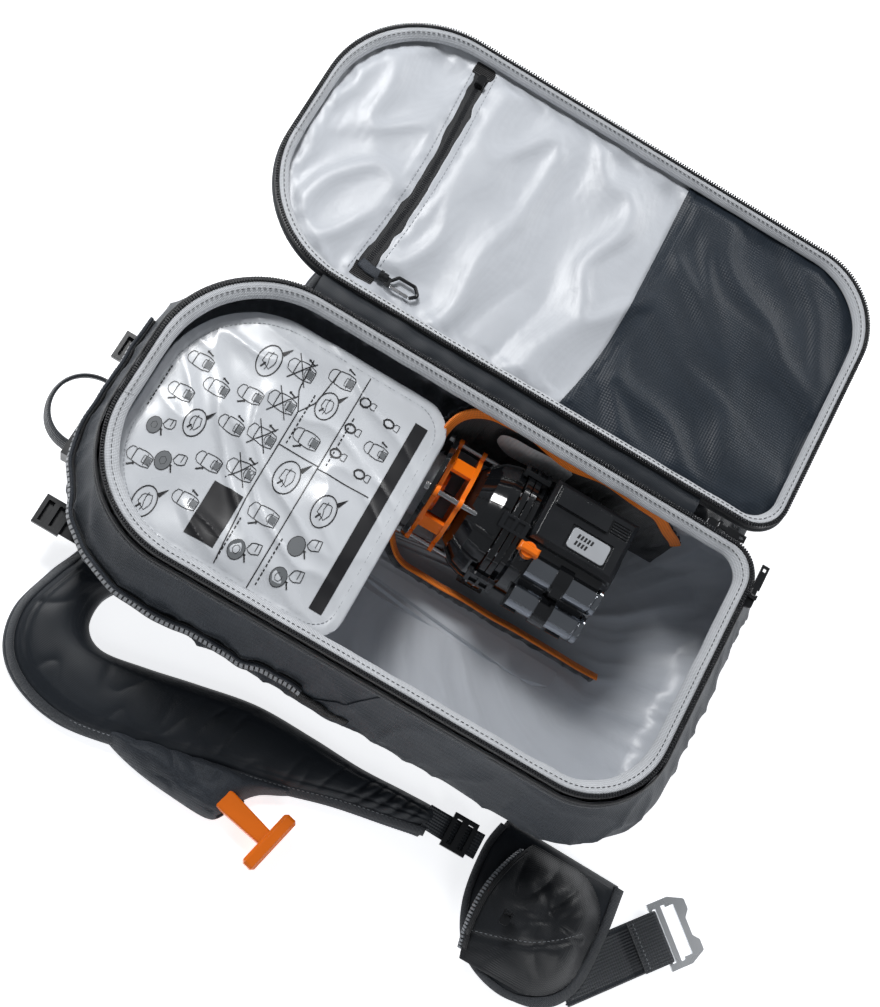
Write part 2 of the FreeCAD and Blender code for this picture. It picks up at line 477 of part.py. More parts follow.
# ---------------------------------------------------------------- haul loop and load lifters
LOOP_Y, LOOP_Z, LOOP_RADIUS = -36.0, 78.0, 34.0
LOOP_X = -RIM_HALF_LENGTH - BULGE_TOP - 4
loop = cylinder_z(LOOP_RADIUS, LOOP_X, LOOP_Y, LOOP_Z - 9, LOOP_Z + 9)
loop = loop.cut(cylinder_z(LOOP_RADIUS - 2.5, LOOP_X, LOOP_Y, LOOP_Z - 10, LOOP_Z + 10))
outline = [(-60, -9.5), (-4, -9.5), (0, -1.3), (0, 1.3), (-4, 9.5), (-60, 9.5)]     # narrow where it is sewn in
outline = [V(LOOP_X + x, -200, LOOP_Z + z) for x, z in outline]
narrowed = Part.Face(Part.makePolygon(outline + outline[:1])).extrude(V(0, 400, 0))
save("haul_loop", loop.common(narrowed))
sewn = [box(LOOP_X + 0.6, LOOP_X + 24, LOOP_Y - 44, LOOP_Y + 44, LOOP_Z - 12, LOOP_Z + 12)]
for end, y in ((-282, -119), (-302, 45)):
    strip = box(end, end + 60, y - 11, y + 11, 34, 36)
    buckle = box(end - 6, end + 20, y - 14, y + 14, 36, 41).cut(box(end + 9, end + 15, y - 10, y + 10, 36.5, 60)).cut(
        box(end - 2, end + 4, y - 10, y + 10, 36.5, 60))
    sewn.append(strip.fuse(buckle))
outside = body_loft(-0.3, PAD_THICKNESS, RIM_TOP)
sewn = [max(piece.cut(outside).Solids, key=lambda s: s.Volume) for piece in sewn]
save("top_webbing", Part.makeCompound(sewn))


# ---------------------------------------------------------------- shoulder straps
PAD_OUTER = [(-248, -157), (-258, -196), (-248, -230), (-220, -252), (-176, -261), (-120, -252), (-56, -235),
             (4, -222), (62, -206), (112, -196), (142, -190)]
PAD_INNER = [(150, -178), (142, -168), (112, -168), (66, -170), (16, -168), (-40, -168), (-94, -178),
             (-140, -188), (-180, -194), (-200, -182), (-206, -157)]


FAR_REACH = 0.84             # the far strap lies bent a little shorter, under the open front panel
STRAP_END = 150.0


def strap_face(grow, z, reach):
    """Plan of the strap pad; grow moves its outer side outwards, reach scales its length."""
    def at(x, y):
        return V(STRAP_END - (STRAP_END - x) * reach, y, z)
    outer = [(x, y - grow) for x, y in PAD_OUTER[1:]]
    outer_curve = Part.BSplineCurve()
    outer_curve.interpolate([at(*PAD_OUTER[0])] + [at(*point) for point in outer])
    inner_curve = Part.BSplineCurve()
    inner_curve.interpolate([at(*outer[-1])] + [at(*point) for point in PAD_INNER])
    close = Part.LineSegment(at(*PAD_INNER[-1]), at(*PAD_OUTER[0]))
    return Part.Face(Part.Wire([outer_curve.toShape(), inner_curve.toShape(), close.toShape()]))


BASE_Z1, PAD_Z1 = 6.0, 24.0
WEB = 2.0
strap_webbing = box(STRAP_END + 0.5, 192, -190, -166, 10, 10 + WEB)


def sewn_strap(reach):
    foam = strap_face(0, BASE_Z1, reach).extrude(V(0, 0, PAD_Z1 - BASE_Z1))
    base_layer = strap_face(7, 1.0, reach).extrude(V(0, 0, BASE_Z1 - 1.0))
    return Part.makeCompound([foam, base_layer, strap_webbing])


LOCK_X = 152.0
ladder_lock = box(LOCK_X + 6, LOCK_X + 30, -194, -162, 12 + CLEAR, 16)
ladder_lock = ladder_lock.cut(box(LOCK_X + 10, LOCK_X + 15, -190, -166, 0, 30))
ladder_lock = ladder_lock.cut(box(LOCK_X + 21, LOCK_X + 26, -190, -166, 0, 30))
save("shoulder_strap_near", sewn_strap(1.0))
save("shoulder_strap_far", mirrored(sewn_strap(FAR_REACH)))
save("strap_ladder_lock_near", ladder_lock)
save("strap_ladder_lock_far", mirrored(ladder_lock))

# trigger: sleeve on the outer edge of the near strap, with the T handle in its socket
TRIGGER_X, TRIGGER_Y, TRIGGER_Z = -28.0, -252.0, 18.0
TRIGGER_TURN = -14.0
pouch = Part.makeLoft([rounded_outline(-140, -27, -271, -236, z, radii) for z, radii in
                       ((5.0, [16, 6, 6, 16]), (20.0, [17, 7, 7, 17]))], True)
pouch = pouch.fuse(Part.makeLoft([rounded_outline(-140, -27, -271, -236, 20, [17, 7, 7, 17]),
                                  rounded_outline(-128, -31, -264, -240, 32, [12, 6, 6, 12])], True))
handle_bore = cylinder_x(11 + CLEAR, -64, 0, TRIGGER_Y, TRIGGER_Z)
turn_centre = V(TRIGGER_X, TRIGGER_Y, TRIGGER_Z)


def turned(shape):
    shape = shape.copy()
    shape.rotate(turn_centre, UP, TRIGGER_TURN)
    return shape


GRIP_LENGTH = 52.0
seam = [V(x, y - 9.5, 0) for x, y in PAD_OUTER[3:9]]
seam_side = Part.Face(Part.makePolygon(seam + [V(62, -150, 0), V(-220, -150, 0), seam[0]])).extrude(V(0, 0, 60))
pouch = pouch.cut(turned(handle_bore)).cut(seam_side)
save("handle_pouch", max(pouch.Solids, key=lambda s: s.Volume))


def shank_section(x, width, height):
    """A rounded rectangle across the handle's axis."""
    outline = rounded_outline(-height / 2, height / 2, -width / 2, width / 2, 0, [2.5] * 4)
    outline.rotate(V(0, 0, 0), Y_AXIS, 90)
    return outline.translated(V(x, TRIGGER_Y, TRIGGER_Z))


shank = Part.makeLoft([shank_section(-56, 19, 11), shank_section(-20, 19, 11),
                       shank_section(TRIGGER_X + GRIP_LENGTH, 15, 11)], True, True)
tee = box(TRIGGER_X + GRIP_LENGTH - 2, TRIGGER_X + GRIP_LENGTH + 11, TRIGGER_Y - 28, TRIGGER_Y + 28,
          TRIGGER_Z - 8, TRIGGER_Z + 8)
tee = tee.makeChamfer(2.6, tee.Edges)
tee = tee.cut(box(TRIGGER_X + GRIP_LENGTH + 7.5, 60, TRIGGER_Y - 22, TRIGGER_Y + 22, TRIGGER_Z - 4, TRIGGER_Z + 4))
save("trigger_handle", turned(fuse([shank, tee])))


# ---------------------------------------------------------------- hip fins, pockets, webbing and buckles
FIN_POINTS = [(204, -143), (198, -176), (204, -226), (226, -262), (266, -276), (304, -266), (322, -240),
              (324, -190), (320, -143)]
POCKET_FLOOR = 13.4
FIN_X0 = 204.0
FAR_NARROW = 0.6             # the far fin lies gathered, narrower than the near one


def fin_x(x, narrow):
    return FIN_X0 + (x - FIN_X0) * narrow


def fin_pad(narrow):
    curve = Part.BSplineCurve()
    curve.interpolate([V(fin_x(x, narrow), y, 3) for x, y in FIN_POINTS])
    ends = [V(fin_x(x, narrow), y, 3) for x, y in (FIN_POINTS[-1], FIN_POINTS[0])]
    return Part.Face(Part.Wire([curve.toShape(), Part.LineSegment(*ends).toShape()])).extrude(V(0, 0, 10))


def fin_pocket(narrow):
    """A puffed pocket on the fin, open at its mouth towards the top of the pack."""
    def lofted(sections):
        return Part.makeLoft([rounded_outline(fin_x(x0, narrow), fin_x(x1, narrow), y0, y1, z, [r * narrow ** 0.5] * 4)
                              for x0, x1, y0, y1, z, r in sections], True, False)
    pocket = lofted([(208, 314, -262, -158, POCKET_FLOOR, 30), (204, 316, -266, -156, 30, 32),
                     (224, 300, -246, -172, 50, 26)])
    wall = 2.5 / narrow
    hollow = lofted([(208 + wall, 314 - wall, -259.5, -160.5, POCKET_FLOOR + 2, 28),
                     (204 + wall, 316 - wall, -263.5, -158.5, 30, 30),
                     (224 + wall, 300 - wall, -243, -175, 47.5, 24)])
    return pocket.cut(hollow).cut(box(190, fin_x(226, narrow), -240, -180, 24, 44))


# hip webbing, folded round the buckle's bar
NEAR_TURN, NEAR_START = 50.0, V(326, -224, 0)
FAR_TURN, FAR_START = 120.0, V(242, -250, 0)        # mirrored: the far one lies under the front panel
WEB_LENGTH, WEB_WIDTH = 76.0, 48.0
BAR_RADIUS, BAR_Z = 1.7, 4.7


def across(radius, x, half_width):
    """A cylinder across the webbing at a distance along it."""
    return Part.makeCylinder(radius, 2 * half_width, V(x, -half_width, BAR_Z), Y_AXIS)


fold = across(4.0, WEB_LENGTH, WEB_WIDTH / 2).cut(across(2.0, WEB_LENGTH, WEB_WIDTH))
fold = fold.common(box(WEB_LENGTH, WEB_LENGTH + 9, -50, 50, -5, 20))
hip_webbing = fuse([box(0, WEB_LENGTH, -WEB_WIDTH / 2, WEB_WIDTH / 2, BAR_Z - 4, BAR_Z - 2), fold,
                    box(WEB_LENGTH - 26, WEB_LENGTH, -WEB_WIDTH / 2, WEB_WIDTH / 2, BAR_Z + 2, BAR_Z + 4)])
BUCKLE_HALF, BUCKLE_HALF_THICK = 31.0, 1.8
BUCKLE_X0, BUCKLE_X1 = WEB_LENGTH + 4.6, WEB_LENGTH + 33.0
rails = [box(WEB_LENGTH - 2, BUCKLE_X0 + 5, side * 28 - 3, side * 28 + 3, BAR_Z - 1.8, BAR_Z + 1.8)
         for side in (-1, 1)]
bar = across(BAR_RADIUS, WEB_LENGTH, BUCKLE_HALF - 1)
SLOT = (BUCKLE_X0 + 5, BUCKLE_X0 + 17)


def buckle_plate(half_outline):
    """A flat plate from the outline of its +Y half."""
    points = half_outline + [(x, -y) for x, y in reversed(half_outline)]
    corners = [V(x, y, BAR_Z - BUCKLE_HALF_THICK) for x, y in points]
    flat = Part.Face(Part.makePolygon(corners + corners[:1])).extrude(V(0, 0, 2 * BUCKLE_HALF_THICK))
    upright = [e for e in flat.Edges if abs(e.Vertexes[0].Z - e.Vertexes[-1].Z) > 1]
    return flat.makeFillet(2.0, upright)


# loop half: a closed frame with two horns; hook half: its front edge is open in the middle
loop_plate = buckle_plate([(BUCKLE_X0, BUCKLE_HALF), (BUCKLE_X0 + 14, BUCKLE_HALF), (BUCKLE_X1, 24),
                           (BUCKLE_X1, 14), (BUCKLE_X1 - 5, 8)])
loop_buckle = fuse([loop_plate, bar] + rails).cut(box(*SLOT, -23, 23, -5, 20)).cut(
    box(SLOT[0], SLOT[0] + 4, -25.5, 25.5, -5, 20))
hook_plate = buckle_plate([(BUCKLE_X0, BUCKLE_HALF), (BUCKLE_X1 - 9, BUCKLE_HALF), (BUCKLE_X1, 22)])
hook_buckle = fuse([hook_plate, bar] + rails).cut(box(*SLOT, -23, 23, -5, 20)).cut(
    box(SLOT[1] - 1, BUCKLE_X1 + 5, -12, 12, -5, 20))


def placed(shape, turn, start):
    """From the webbing's own frame to the fin's tip."""
    return turned_about_z(shape, turn).translated(start)


save("fin_pad_near", fin_pad(1.0))
save("fin_pad_far", mirrored(fin_pad(FAR_NARROW)))
save("fin_pocket_near", fin_pocket(1.0))
save("fin_pocket_far", mirrored(fin_pocket(FAR_NARROW)))
save("hip_webbing_near", placed(hip_webbing, NEAR_TURN, NEAR_START))
save("hip_webbing_far", mirrored(placed(hip_webbing, -FAR_TURN, FAR_START)))
save("loop_buckle_near", placed(loop_buckle, NEAR_TURN, NEAR_START))
save("hook_buckle_far", mirrored(placed(hook_buckle, -FAR_TURN, FAR_START)))
save("fin_zip_slider_near", slider_body(232, -226, 50.4, 90))
print("files", len([name for name in os.listdir("parts") if name.endswith(".step")]))
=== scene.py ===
"""Visual model of the avalanche airbag backpack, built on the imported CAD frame.

Lengths in this file are millimetres in the CAD frame until mesh_object() turns them into metres.
"""
import math

import bmesh
import bpy
import numpy as np
from mathutils import Matrix, Vector, noise
from mathutils.bvhtree import BVHTree


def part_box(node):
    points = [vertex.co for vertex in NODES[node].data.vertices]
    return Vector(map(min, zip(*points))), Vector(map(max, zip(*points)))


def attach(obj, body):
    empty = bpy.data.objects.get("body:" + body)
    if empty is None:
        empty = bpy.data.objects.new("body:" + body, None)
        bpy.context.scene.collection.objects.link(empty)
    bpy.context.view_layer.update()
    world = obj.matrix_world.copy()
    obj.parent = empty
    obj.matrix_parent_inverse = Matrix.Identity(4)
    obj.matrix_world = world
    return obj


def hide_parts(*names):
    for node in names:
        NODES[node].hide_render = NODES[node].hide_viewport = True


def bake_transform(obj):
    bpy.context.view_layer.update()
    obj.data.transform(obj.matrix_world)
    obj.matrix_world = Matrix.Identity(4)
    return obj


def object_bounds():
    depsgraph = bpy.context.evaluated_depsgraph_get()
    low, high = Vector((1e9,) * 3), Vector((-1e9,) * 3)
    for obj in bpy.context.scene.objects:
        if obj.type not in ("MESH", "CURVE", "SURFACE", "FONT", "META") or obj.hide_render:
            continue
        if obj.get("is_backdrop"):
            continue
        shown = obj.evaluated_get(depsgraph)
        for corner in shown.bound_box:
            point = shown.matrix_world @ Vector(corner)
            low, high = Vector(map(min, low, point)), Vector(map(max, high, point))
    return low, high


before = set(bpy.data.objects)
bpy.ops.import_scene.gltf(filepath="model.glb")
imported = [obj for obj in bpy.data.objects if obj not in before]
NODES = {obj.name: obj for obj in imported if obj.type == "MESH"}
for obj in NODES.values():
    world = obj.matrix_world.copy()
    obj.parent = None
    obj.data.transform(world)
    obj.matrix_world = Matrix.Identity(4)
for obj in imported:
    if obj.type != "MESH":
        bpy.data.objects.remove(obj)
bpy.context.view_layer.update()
MM = 0.001


# ------------------------------------------------------------------ curves and meshes
def resample(points, n, closed=False):
    """n points evenly spaced along a polyline."""
    p = np.asarray(points, float)
    if closed:
        p = np.vstack([p, p[:1]])
    step = np.r_[0, np.cumsum(np.linalg.norm(np.diff(p, axis=0), axis=1))]
    at = np.linspace(0, step[-1], n, endpoint=not closed)
    return np.stack([np.interp(at, step, p[:, k]) for k in range(p.shape[1])], 1)


def smooth_line(points, n, closed=False):
    """A Catmull-Rom curve through points, evenly resampled."""
    p = np.asarray(points, float)
    ends = (p[-1:], p[:2]) if closed else (2 * p[:1] - p[1:2], 2 * p[-1:] - p[-2:-1])
    q = np.vstack([ends[0], p, ends[1]])
    out = []
    t = np.linspace(0, 1, 24, endpoint=False)[:, None]
    for a, b, c, d in zip(q, q[1:], q[2:], q[3:]):
        out.append(0.5 * (2 * b + (c - a) * t + (2 * a - 5 * b + 4 * c - d) * t ** 2
                          + (3 * b - a - 3 * c + d) * t ** 3))
    if not closed:
        out.append(p[-1:])
    return resample(np.vstack(out), n, closed)


def rounded(x0, x1, y0, y1, radii, n, z=0.0):
    """n points evenly spaced round a rounded rectangle, anticlockwise from the x0 side. radii as in the CAD."""
    a, b, c, d = radii
    t = np.radians(np.linspace(0, 90, 24))
    parts = []
    for cx, cy, r, start in ((x0 + a, y0 + a, a, 180), (x1 - b, y0 + b, b, 270), (x1 - c, y1 - c, c, 0),
                             (x0 + d, y1 - d, d, 90)):
        angle = math.radians(start) + t
        parts.append(np.stack([cx + r * np.cos(angle), cy + r * np.sin(angle)], 1))
    ring = resample(np.vstack(parts), n, True)
    return np.c_[ring, np.full(n, z)]


def across_vectors(line, closed=False, up=(0, 0, 1)):
    """Unit vectors across a line, to its left seen against up."""
    if closed:
        tangent = np.roll(line, -1, 0) - np.roll(line, 1, 0)
    else:
        tangent = np.gradient(line, axis=0)
    left = np.cross(np.asarray(up, float), tangent)
    return left / np.linalg.norm(left, axis=1)[:, None]


def perlin(p, scale, seed=0.0):
    """Smooth noise in about -1..1 at points in millimetres."""
    return np.array([noise.noise(Vector((x * scale + seed, y * scale - seed, z * scale))) for x, y, z in p])


def folds(p, along, length, width, seed, sharp=2.0):
    """Ridged noise stretched along a direction: creases about length long and width apart."""
    a = np.asarray(along, float)
    a = a / np.linalg.norm(a)
    p = np.asarray(p, float)
    warp = np.stack([perlin(p, 1 / 90, seed + k) for k in (3, 7, 11)], 1) * 22
    q = p + warp
    s = q @ a
    rest = q - np.outer(s, a)
    pts = rest / width + np.outer(s / length, a)
    ridge = np.array([1 - abs(noise.noise(Vector(r) + Vector((seed, 0, -seed)))) * 2 for r in pts])
    return np.clip(ridge, 0, 1) ** sharp


def mesh_object(name, verts, faces, material, body, uvs=None, smooth=True):
    mesh = bpy.data.meshes.new(name)
    mesh.from_pydata((np.asarray(verts, float) * MM).tolist(), [], faces)
    if uvs is not None:
        layer = mesh.uv_layers.new(name="UVMap")
        index = np.empty(len(mesh.loops), np.int32)
        mesh.loops.foreach_get("vertex_index", index)
        layer.data.foreach_set("uv", (np.asarray(uvs, float)[index] * MM).astype(np.float32).ravel())
    mesh.polygons.foreach_set("use_smooth", [smooth] * len(mesh.polygons))
    mesh.materials.append(material)
    obj = bpy.data.objects.new(name, mesh)
    bpy.context.scene.collection.objects.link(obj)
    if body:
        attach(obj, body)
    return obj


def grid_faces(nu, nv, closed_u=False, closed_v=False, flip=False):
    faces = []
    for i in range(nu if closed_u else nu - 1):
        j = (i + 1) % nu
        for k in range(nv if closed_v else nv - 1):
            m = (k + 1) % nv
            f = (i * nv + k, j * nv + k, j * nv + m, i * nv + m)
            faces.append(f[::-1] if flip else f)
    return faces


def surface(name, p, material, body, closed_u=False, closed_v=False, flip=False, caps=False):
    """A mesh from a grid of points, with UVs in metres along and across it."""
    nu, nv = p.shape[:2]
    du = np.linalg.norm(np.diff(p, axis=0), axis=2).mean(1)
    dv = np.linalg.norm(np.diff(p, axis=1), axis=2).mean(0)
    u = np.r_[0, np.cumsum(du)]
    v = np.r_[0, np.cumsum(dv)]
    uv = np.stack(np.meshgrid(u, v, indexing="ij"), 2).reshape(-1, 2)
    faces = grid_faces(nu, nv, closed_u, closed_v, flip)
    if caps:
        ends = [list(range(nv)), [(nu - 1) * nv + k for k in range(nv)]]
        faces.append(ends[0] if flip else ends[0][::-1])
        faces.append(ends[1][::-1] if flip else ends[1])
    return mesh_object(name, p.reshape(-1, 3), faces, material, body, uv)


def close_ends(obj, *loops):
    """Adds a face over each loop of vertex numbers."""
    bm = bmesh.new()
    bm.from_mesh(obj.data)
    bm.verts.ensure_lookup_table()
    for loop in loops:
        bm.faces.new([bm.verts[i] for i in loop])
    bm.to_mesh(obj.data)
    bm.free()


def paint(materials):
    """Gives CAD nodes their materials."""
    for node, material in materials.items():
        slots = NODES[node].data.materials
        slots.clear()
        slots.append(material)


def horizontal(vectors):
    """The vectors laid level, at unit length."""
    level = vectors * (1, 1, 0)
    return level / np.linalg.norm(level, axis=1)[:, None]


def ribbon_grid(line, half_width, thickness, up, crown=0.0, closed=False, across=None):
    """Closed cross-sections of a flat strip along a line: points (n, 12, 3)."""
    line = np.asarray(line, float)
    up = np.asarray(up, float)
    left = across_vectors(line, closed, up) if across is None else across
    tangent = np.gradient(line, axis=0)
    normal = np.cross(tangent, left)
    normal /= np.linalg.norm(normal, axis=1)[:, None]
    w = np.broadcast_to(half_width, len(line))[:, None]
    section = [(-1, -0.2), (-0.94, -0.5), (-0.5, -0.5), (0, -0.5), (0.5, -0.5), (0.94, -0.5), (1, -0.2),
               (1, 0.2), (0.94, 0.5), (0.5, 0.5), (0, 0.5), (-0.5, 0.5), (-0.94, 0.5), (-1, 0.2)]
    rows = []
    for s, t in section:
        rise = crown * (1 - s * s) if t > 0 else 0.0
        rows.append(line + left * w * s + normal * (t * thickness + rise))
    return np.stack(rows, 1)


def strip(name, line, half_width, thickness, material, body, up=(0, 0, 1), crown=0.0, closed=False):
    p = ribbon_grid(line, half_width, thickness, up, crown, closed)
    return surface(name, p, material, body, closed_u=closed, closed_v=True, caps=not closed)


def tube_mesh(name, line, radius, material, body, closed=False, sides=10, up=(0, 0, 1)):
    line = np.asarray(line, float)
    left = across_vectors(line, closed, up)
    tangent = (np.roll(line, -1, 0) - np.roll(line, 1, 0)) if closed else np.gradient(line, axis=0)
    normal = np.cross(tangent, left)
    normal /= np.linalg.norm(normal, axis=1)[:, None]
    r = np.broadcast_to(radius, len(line))[:, None]
    rows = [line + left * r * math.cos(a) + normal * r * math.sin(a)
            for a in np.linspace(0, 2 * math.pi, sides, endpoint=False)]
    return surface(name, np.stack(rows, 1), material, body, closed, True, caps=not closed)


def joined(name, boxes, material, body, smooth=False):
    """One object from many small boxes: (centre, three half-axes) each."""
    corner = np.array([(-1, -1, -1), (1, -1, -1), (1, 1, -1), (-1, 1, -1), (-1, -1, 1), (1, -1, 1),
                       (1, 1, 1), (-1, 1, 1)],
                      float)
    quad = [(0, 3, 2, 1), (4, 5, 6, 7), (0, 1, 5, 4), (1, 2, 6, 5), (2, 3, 7, 6), (3, 0, 4, 7)]
    verts, faces = [], []
    for k, (centre, axes) in enumerate(boxes):
        verts.append(np.asarray(centre) + corner @ np.asarray(axes))
        faces += [tuple(i + 8 * k for i in f) for f in quad]
    return mesh_object(name, np.vstack(verts), faces, material, body, smooth=smooth)


def teeth(name, line, pitch, size, material, body, up=(0, 0, 1), closed=False):
    """Zip teeth along a line; size is (along, across, high) in half-lengths."""
    line = np.asarray(line, float)
    length = np.linalg.norm(np.diff(line, axis=0), axis=1).sum()
    up = np.broadcast_to(np.asarray(up, float), line.shape)
    both = resample(np.c_[line, up * 0.001], max(2, int(length / pitch)), closed)
    p, up = both[:, :3], both[:, 3:]
    left = across_vectors(p, closed, up)
    tangent = (np.roll(p, -1, 0) - np.roll(p, 1, 0)) if closed else np.gradient(p, axis=0)
    tangent /= np.linalg.norm(tangent, axis=1)[:, None]
    normal = np.cross(tangent, left)
    boxes = [(c, (t * size[0], w * size[1], n * size[2])) for c, t, w, n in zip(p, tangent, left, normal)]
    return joined(name, boxes, material, body)


def stitches(name, line, material, body, up=(0, 0, 1), closed=False, pitch=5.0, size=(1.5, 0.35, 0.3)):
    return teeth(name, line, pitch, size, material, body, up, closed)


# ------------------------------------------------------------------ materials
class Graph:
    """A node material; add() makes a node and sets or links its inputs."""

    def __init__(self, name):
        self.material = bpy.data.materials.new(name)
        self.material.use_nodes = True
        self.tree = self.material.node_tree
        self.shader = self.tree.nodes["Principled BSDF"]

    def set(self, node, inputs):
        for key, value in inputs.items():
            socket = node.inputs[key]
            if isinstance(value, bpy.types.NodeSocket):
                self.tree.links.new(value, socket)
            else:
                socket.default_value = value

    def add(self, kind, inputs=None, **settings):
        node = self.tree.nodes.new("ShaderNode" + kind)
        for key, value in settings.items():
            setattr(node, key, value)
        self.set(node, inputs or {})
        return node

    def math(self, operation, a, b=0.0):
        return self.add("Math", {0: a, 1: b}, operation=operation).outputs[0]

    def ramp(self, value, low, high, out_low=0.0, out_high=1.0):
        return self.add("MapRange", {"Value": value, "From Min": low, "From Max": high, "To Min": out_low,
                                     "To Max": out_high}).outputs[0]

    def noise(self, vector, scale, detail=2.0, rough=0.5):
        return self.add("TexNoise", {"Vector": vector, "Scale": scale, "Detail": detail,
                                     "Roughness": rough}).outputs[0]

    def shade(self, colour, low, high, factor):
        """colour scaled from low to high by a 0..1 factor."""
        a = [c * low for c in colour[:3]] + [1]
        b = [c * high for c in colour[:3]] + [1]
        mix = self.add("Mix", data_type="RGBA")
        self.set(mix, {0: factor, 6: a, 7: b})
        return mix.outputs[2]

    def bump(self, height, distance, strength=1.0, normal=None):
        node = self.add("Bump", {"Height": height, "Distance": distance, "Strength": strength})
        if normal is not None:
            self.tree.links.new(normal, node.inputs["Normal"])
        return node.outputs[0]


def weave_height(g, coords, period):
    """Plain weave: a sum of sines along three axes, which reads on a surface facing any way."""
    split = g.add("SeparateXYZ", {0: coords})
    total = None
    for axis in range(3):
        s = g.math("SINE", g.math("MULTIPLY", split.outputs[axis], 2 * math.pi / (period * MM)))
        total = s if total is None else g.math("ADD", total, s)
    return g.ramp(total, -2.0, 2.0)


def fabric(name, colour, rough, period, depth, variation=0.14, sheen=0.25, crease=0.0, specular=0.4,
           flecks=0.0,
           coat=0.0):
    g = Graph(name)
    coords = g.add("TexCoord").outputs["Object"]
    weave = weave_height(g, coords, period)
    cloud = g.noise(coords, 14, 4, 0.6)
    # colour tone: random cloud mixed with painted shade and highlight from the weave height, darker in the weave's
    # dips and lighter on its crests
    tone_and_painted_shade = g.math("ADD", g.math("MULTIPLY", cloud, 0.65), g.math("MULTIPLY", weave, 0.35))
    if flecks:
        grain = g.noise(coords, 700, 1, 0.5)
        tone_and_painted_shade = g.math("ADD", tone_and_painted_shade, g.math("MULTIPLY", g.math("SUBTRACT", grain, 0.5), flecks))
    normal = g.bump(weave, depth * MM)
    if crease:
        fine = g.noise(coords, 60, 3, 0.55)
        normal = g.bump(fine, crease * MM, normal=normal)
    g.set(g.shader, {"Base Color": g.shade(colour, 1 - variation, 1 + variation, tone_and_painted_shade), "Normal": normal,
                     "Roughness": g.ramp(cloud, 0.2, 0.8, rough - 0.06, rough + 0.06),
                     "Sheen Weight": sheen, "Sheen Roughness": 0.5, "Specular IOR Level": specular,
                     "Coat Weight": coat, "Coat Roughness": 0.3})
    return g.material


def ribbed(name, colour, rough, pitch, depth, across=False, cross=2.2, diagonal=False):
    """Webbing or tape with UVs in metres: ribs run along it, crossed by fine weft."""
    g = Graph(name)
    uv = g.add("TexCoord").outputs["UV"]
    split = g.add("SeparateXYZ", {0: uv})
    u, v = split.outputs[0], split.outputs[1]
    if across:
        u, v = v, u
    turn = 2 * math.pi / MM
    if diagonal:
        main = g.math("SINE", g.math("MULTIPLY", g.math("ADD", u, v), turn / pitch))
    else:
        main = g.math("SINE", g.math("MULTIPLY", v, turn / pitch))
    weft = g.math("SINE", g.math("MULTIPLY", u, turn / cross))
    height = g.math("ADD", g.math("MULTIPLY", main, 0.7), g.math("MULTIPLY", weft, 0.3))
    # painted shade and highlight: the colour follows the rib height, darker in the grooves and lighter on the ribs,
    # then mixed with random noise
    tone_and_painted_shade = g.ramp(height, -1, 1)
    coords = g.add("TexCoord").outputs["Object"]
    tone_and_painted_shade = g.math("ADD", g.math("MULTIPLY", tone_and_painted_shade, 0.7), g.math("MULTIPLY", g.noise(coords, 60, 3), 0.3))
    g.set(g.shader, {"Base Color": g.shade(colour, 0.55, 1.4, tone_and_painted_shade), "Normal": g.bump(height, depth * MM),
                     "Roughness": rough, "Sheen Weight": 0.2, "Specular IOR Level": 0.4})
    return g.material


def plastic(name, colour, rough, grain=0.0, coat=0.0, variation=0.08, metallic=0.0, scratch=0.0,
            grain_scale=900):
    g = Graph(name)
    coords = g.add("TexCoord").outputs["Object"]
    cloud = g.noise(coords, 30, 3)
    inputs = {"Base Color": g.shade(colour, 1 - variation, 1 + variation, cloud), "Metallic": metallic,
              "Roughness": g.ramp(cloud, 0.25, 0.75, max(0.04, rough - 0.05), rough + 0.07),
              "Coat Weight": coat,
              "Coat Roughness": 0.08}
    edge = g.add("Bevel", {"Radius": 0.0006}, samples=4).outputs[0]
    if grain:
        edge = g.bump(g.noise(coords, grain_scale, 2), grain * MM, normal=edge)
    if scratch:
        stretched = g.add("Mapping", {"Vector": coords, "Scale": (1, 1, 40)}).outputs[0]
        edge = g.bump(g.noise(stretched, 120, 3), scratch * MM, normal=edge)
    inputs["Normal"] = edge
    g.set(g.shader, inputs)
    return g.material


SHELL = fabric("shell_weave", (0.027, 0.034, 0.044), 0.58, 1.9, 0.24, 0.35, 0.08, 0.25, specular=0.3,
               flecks=1.5)
STRAP_FACE = fabric("strap_knit", (0.011, 0.015, 0.021), 0.48, 1.3, 0.1, 0.25, 0.1, flecks=0.6)
STRAP_SIDE = fabric("strap_side", (0.034, 0.04, 0.05), 0.6, 1.7, 0.25, 0.35, 0.08, specular=0.3, flecks=1.5)
FIN = fabric("fin_weave", (0.009, 0.011, 0.014), 0.42, 1.7, 0.16, 0.3, 0.08, 0.12, flecks=0.8, coat=0.1)
POCKET = fabric("pocket_weave", (0.014, 0.021, 0.031), 0.46, 2.4, 0.25, 0.3, 0.05, 0.15, specular=0.3,
                flecks=0.9)
LINING = fabric("lining_satin", (0.5, 0.525, 0.565), 0.4, 1.2, 0.04, 0.07, 0.0, 0.45, specular=0.6, coat=0.0)
FLAP = fabric("flap_coated", (0.62, 0.645, 0.68), 0.28, 1.2, 0.03, 0.05, 0.0, 0.08, specular=0.7, coat=0.25)
AIRBAG = fabric("airbag_ripstop", (0.62, 0.63, 0.66), 0.4, 2.0, 0.08, 0.06, 0.1, 0.2)
SLEEVE = fabric("sleeve_weave", (0.009, 0.011, 0.014), 0.6, 1.6, 0.25, 0.35, 0.3, 0.3, flecks=0.8)
PAD = fabric("spacer_mesh", (0.035, 0.037, 0.042), 0.8, 3.2, 0.9, 0.5, 0.3)
TAPE = ribbed("zip_tape", (0.008, 0.009, 0.011), 0.6, 1.4, 0.15)
BINDING = ribbed("rim_binding", (0.56, 0.58, 0.61), 0.5, 1.3, 0.12, across=True)
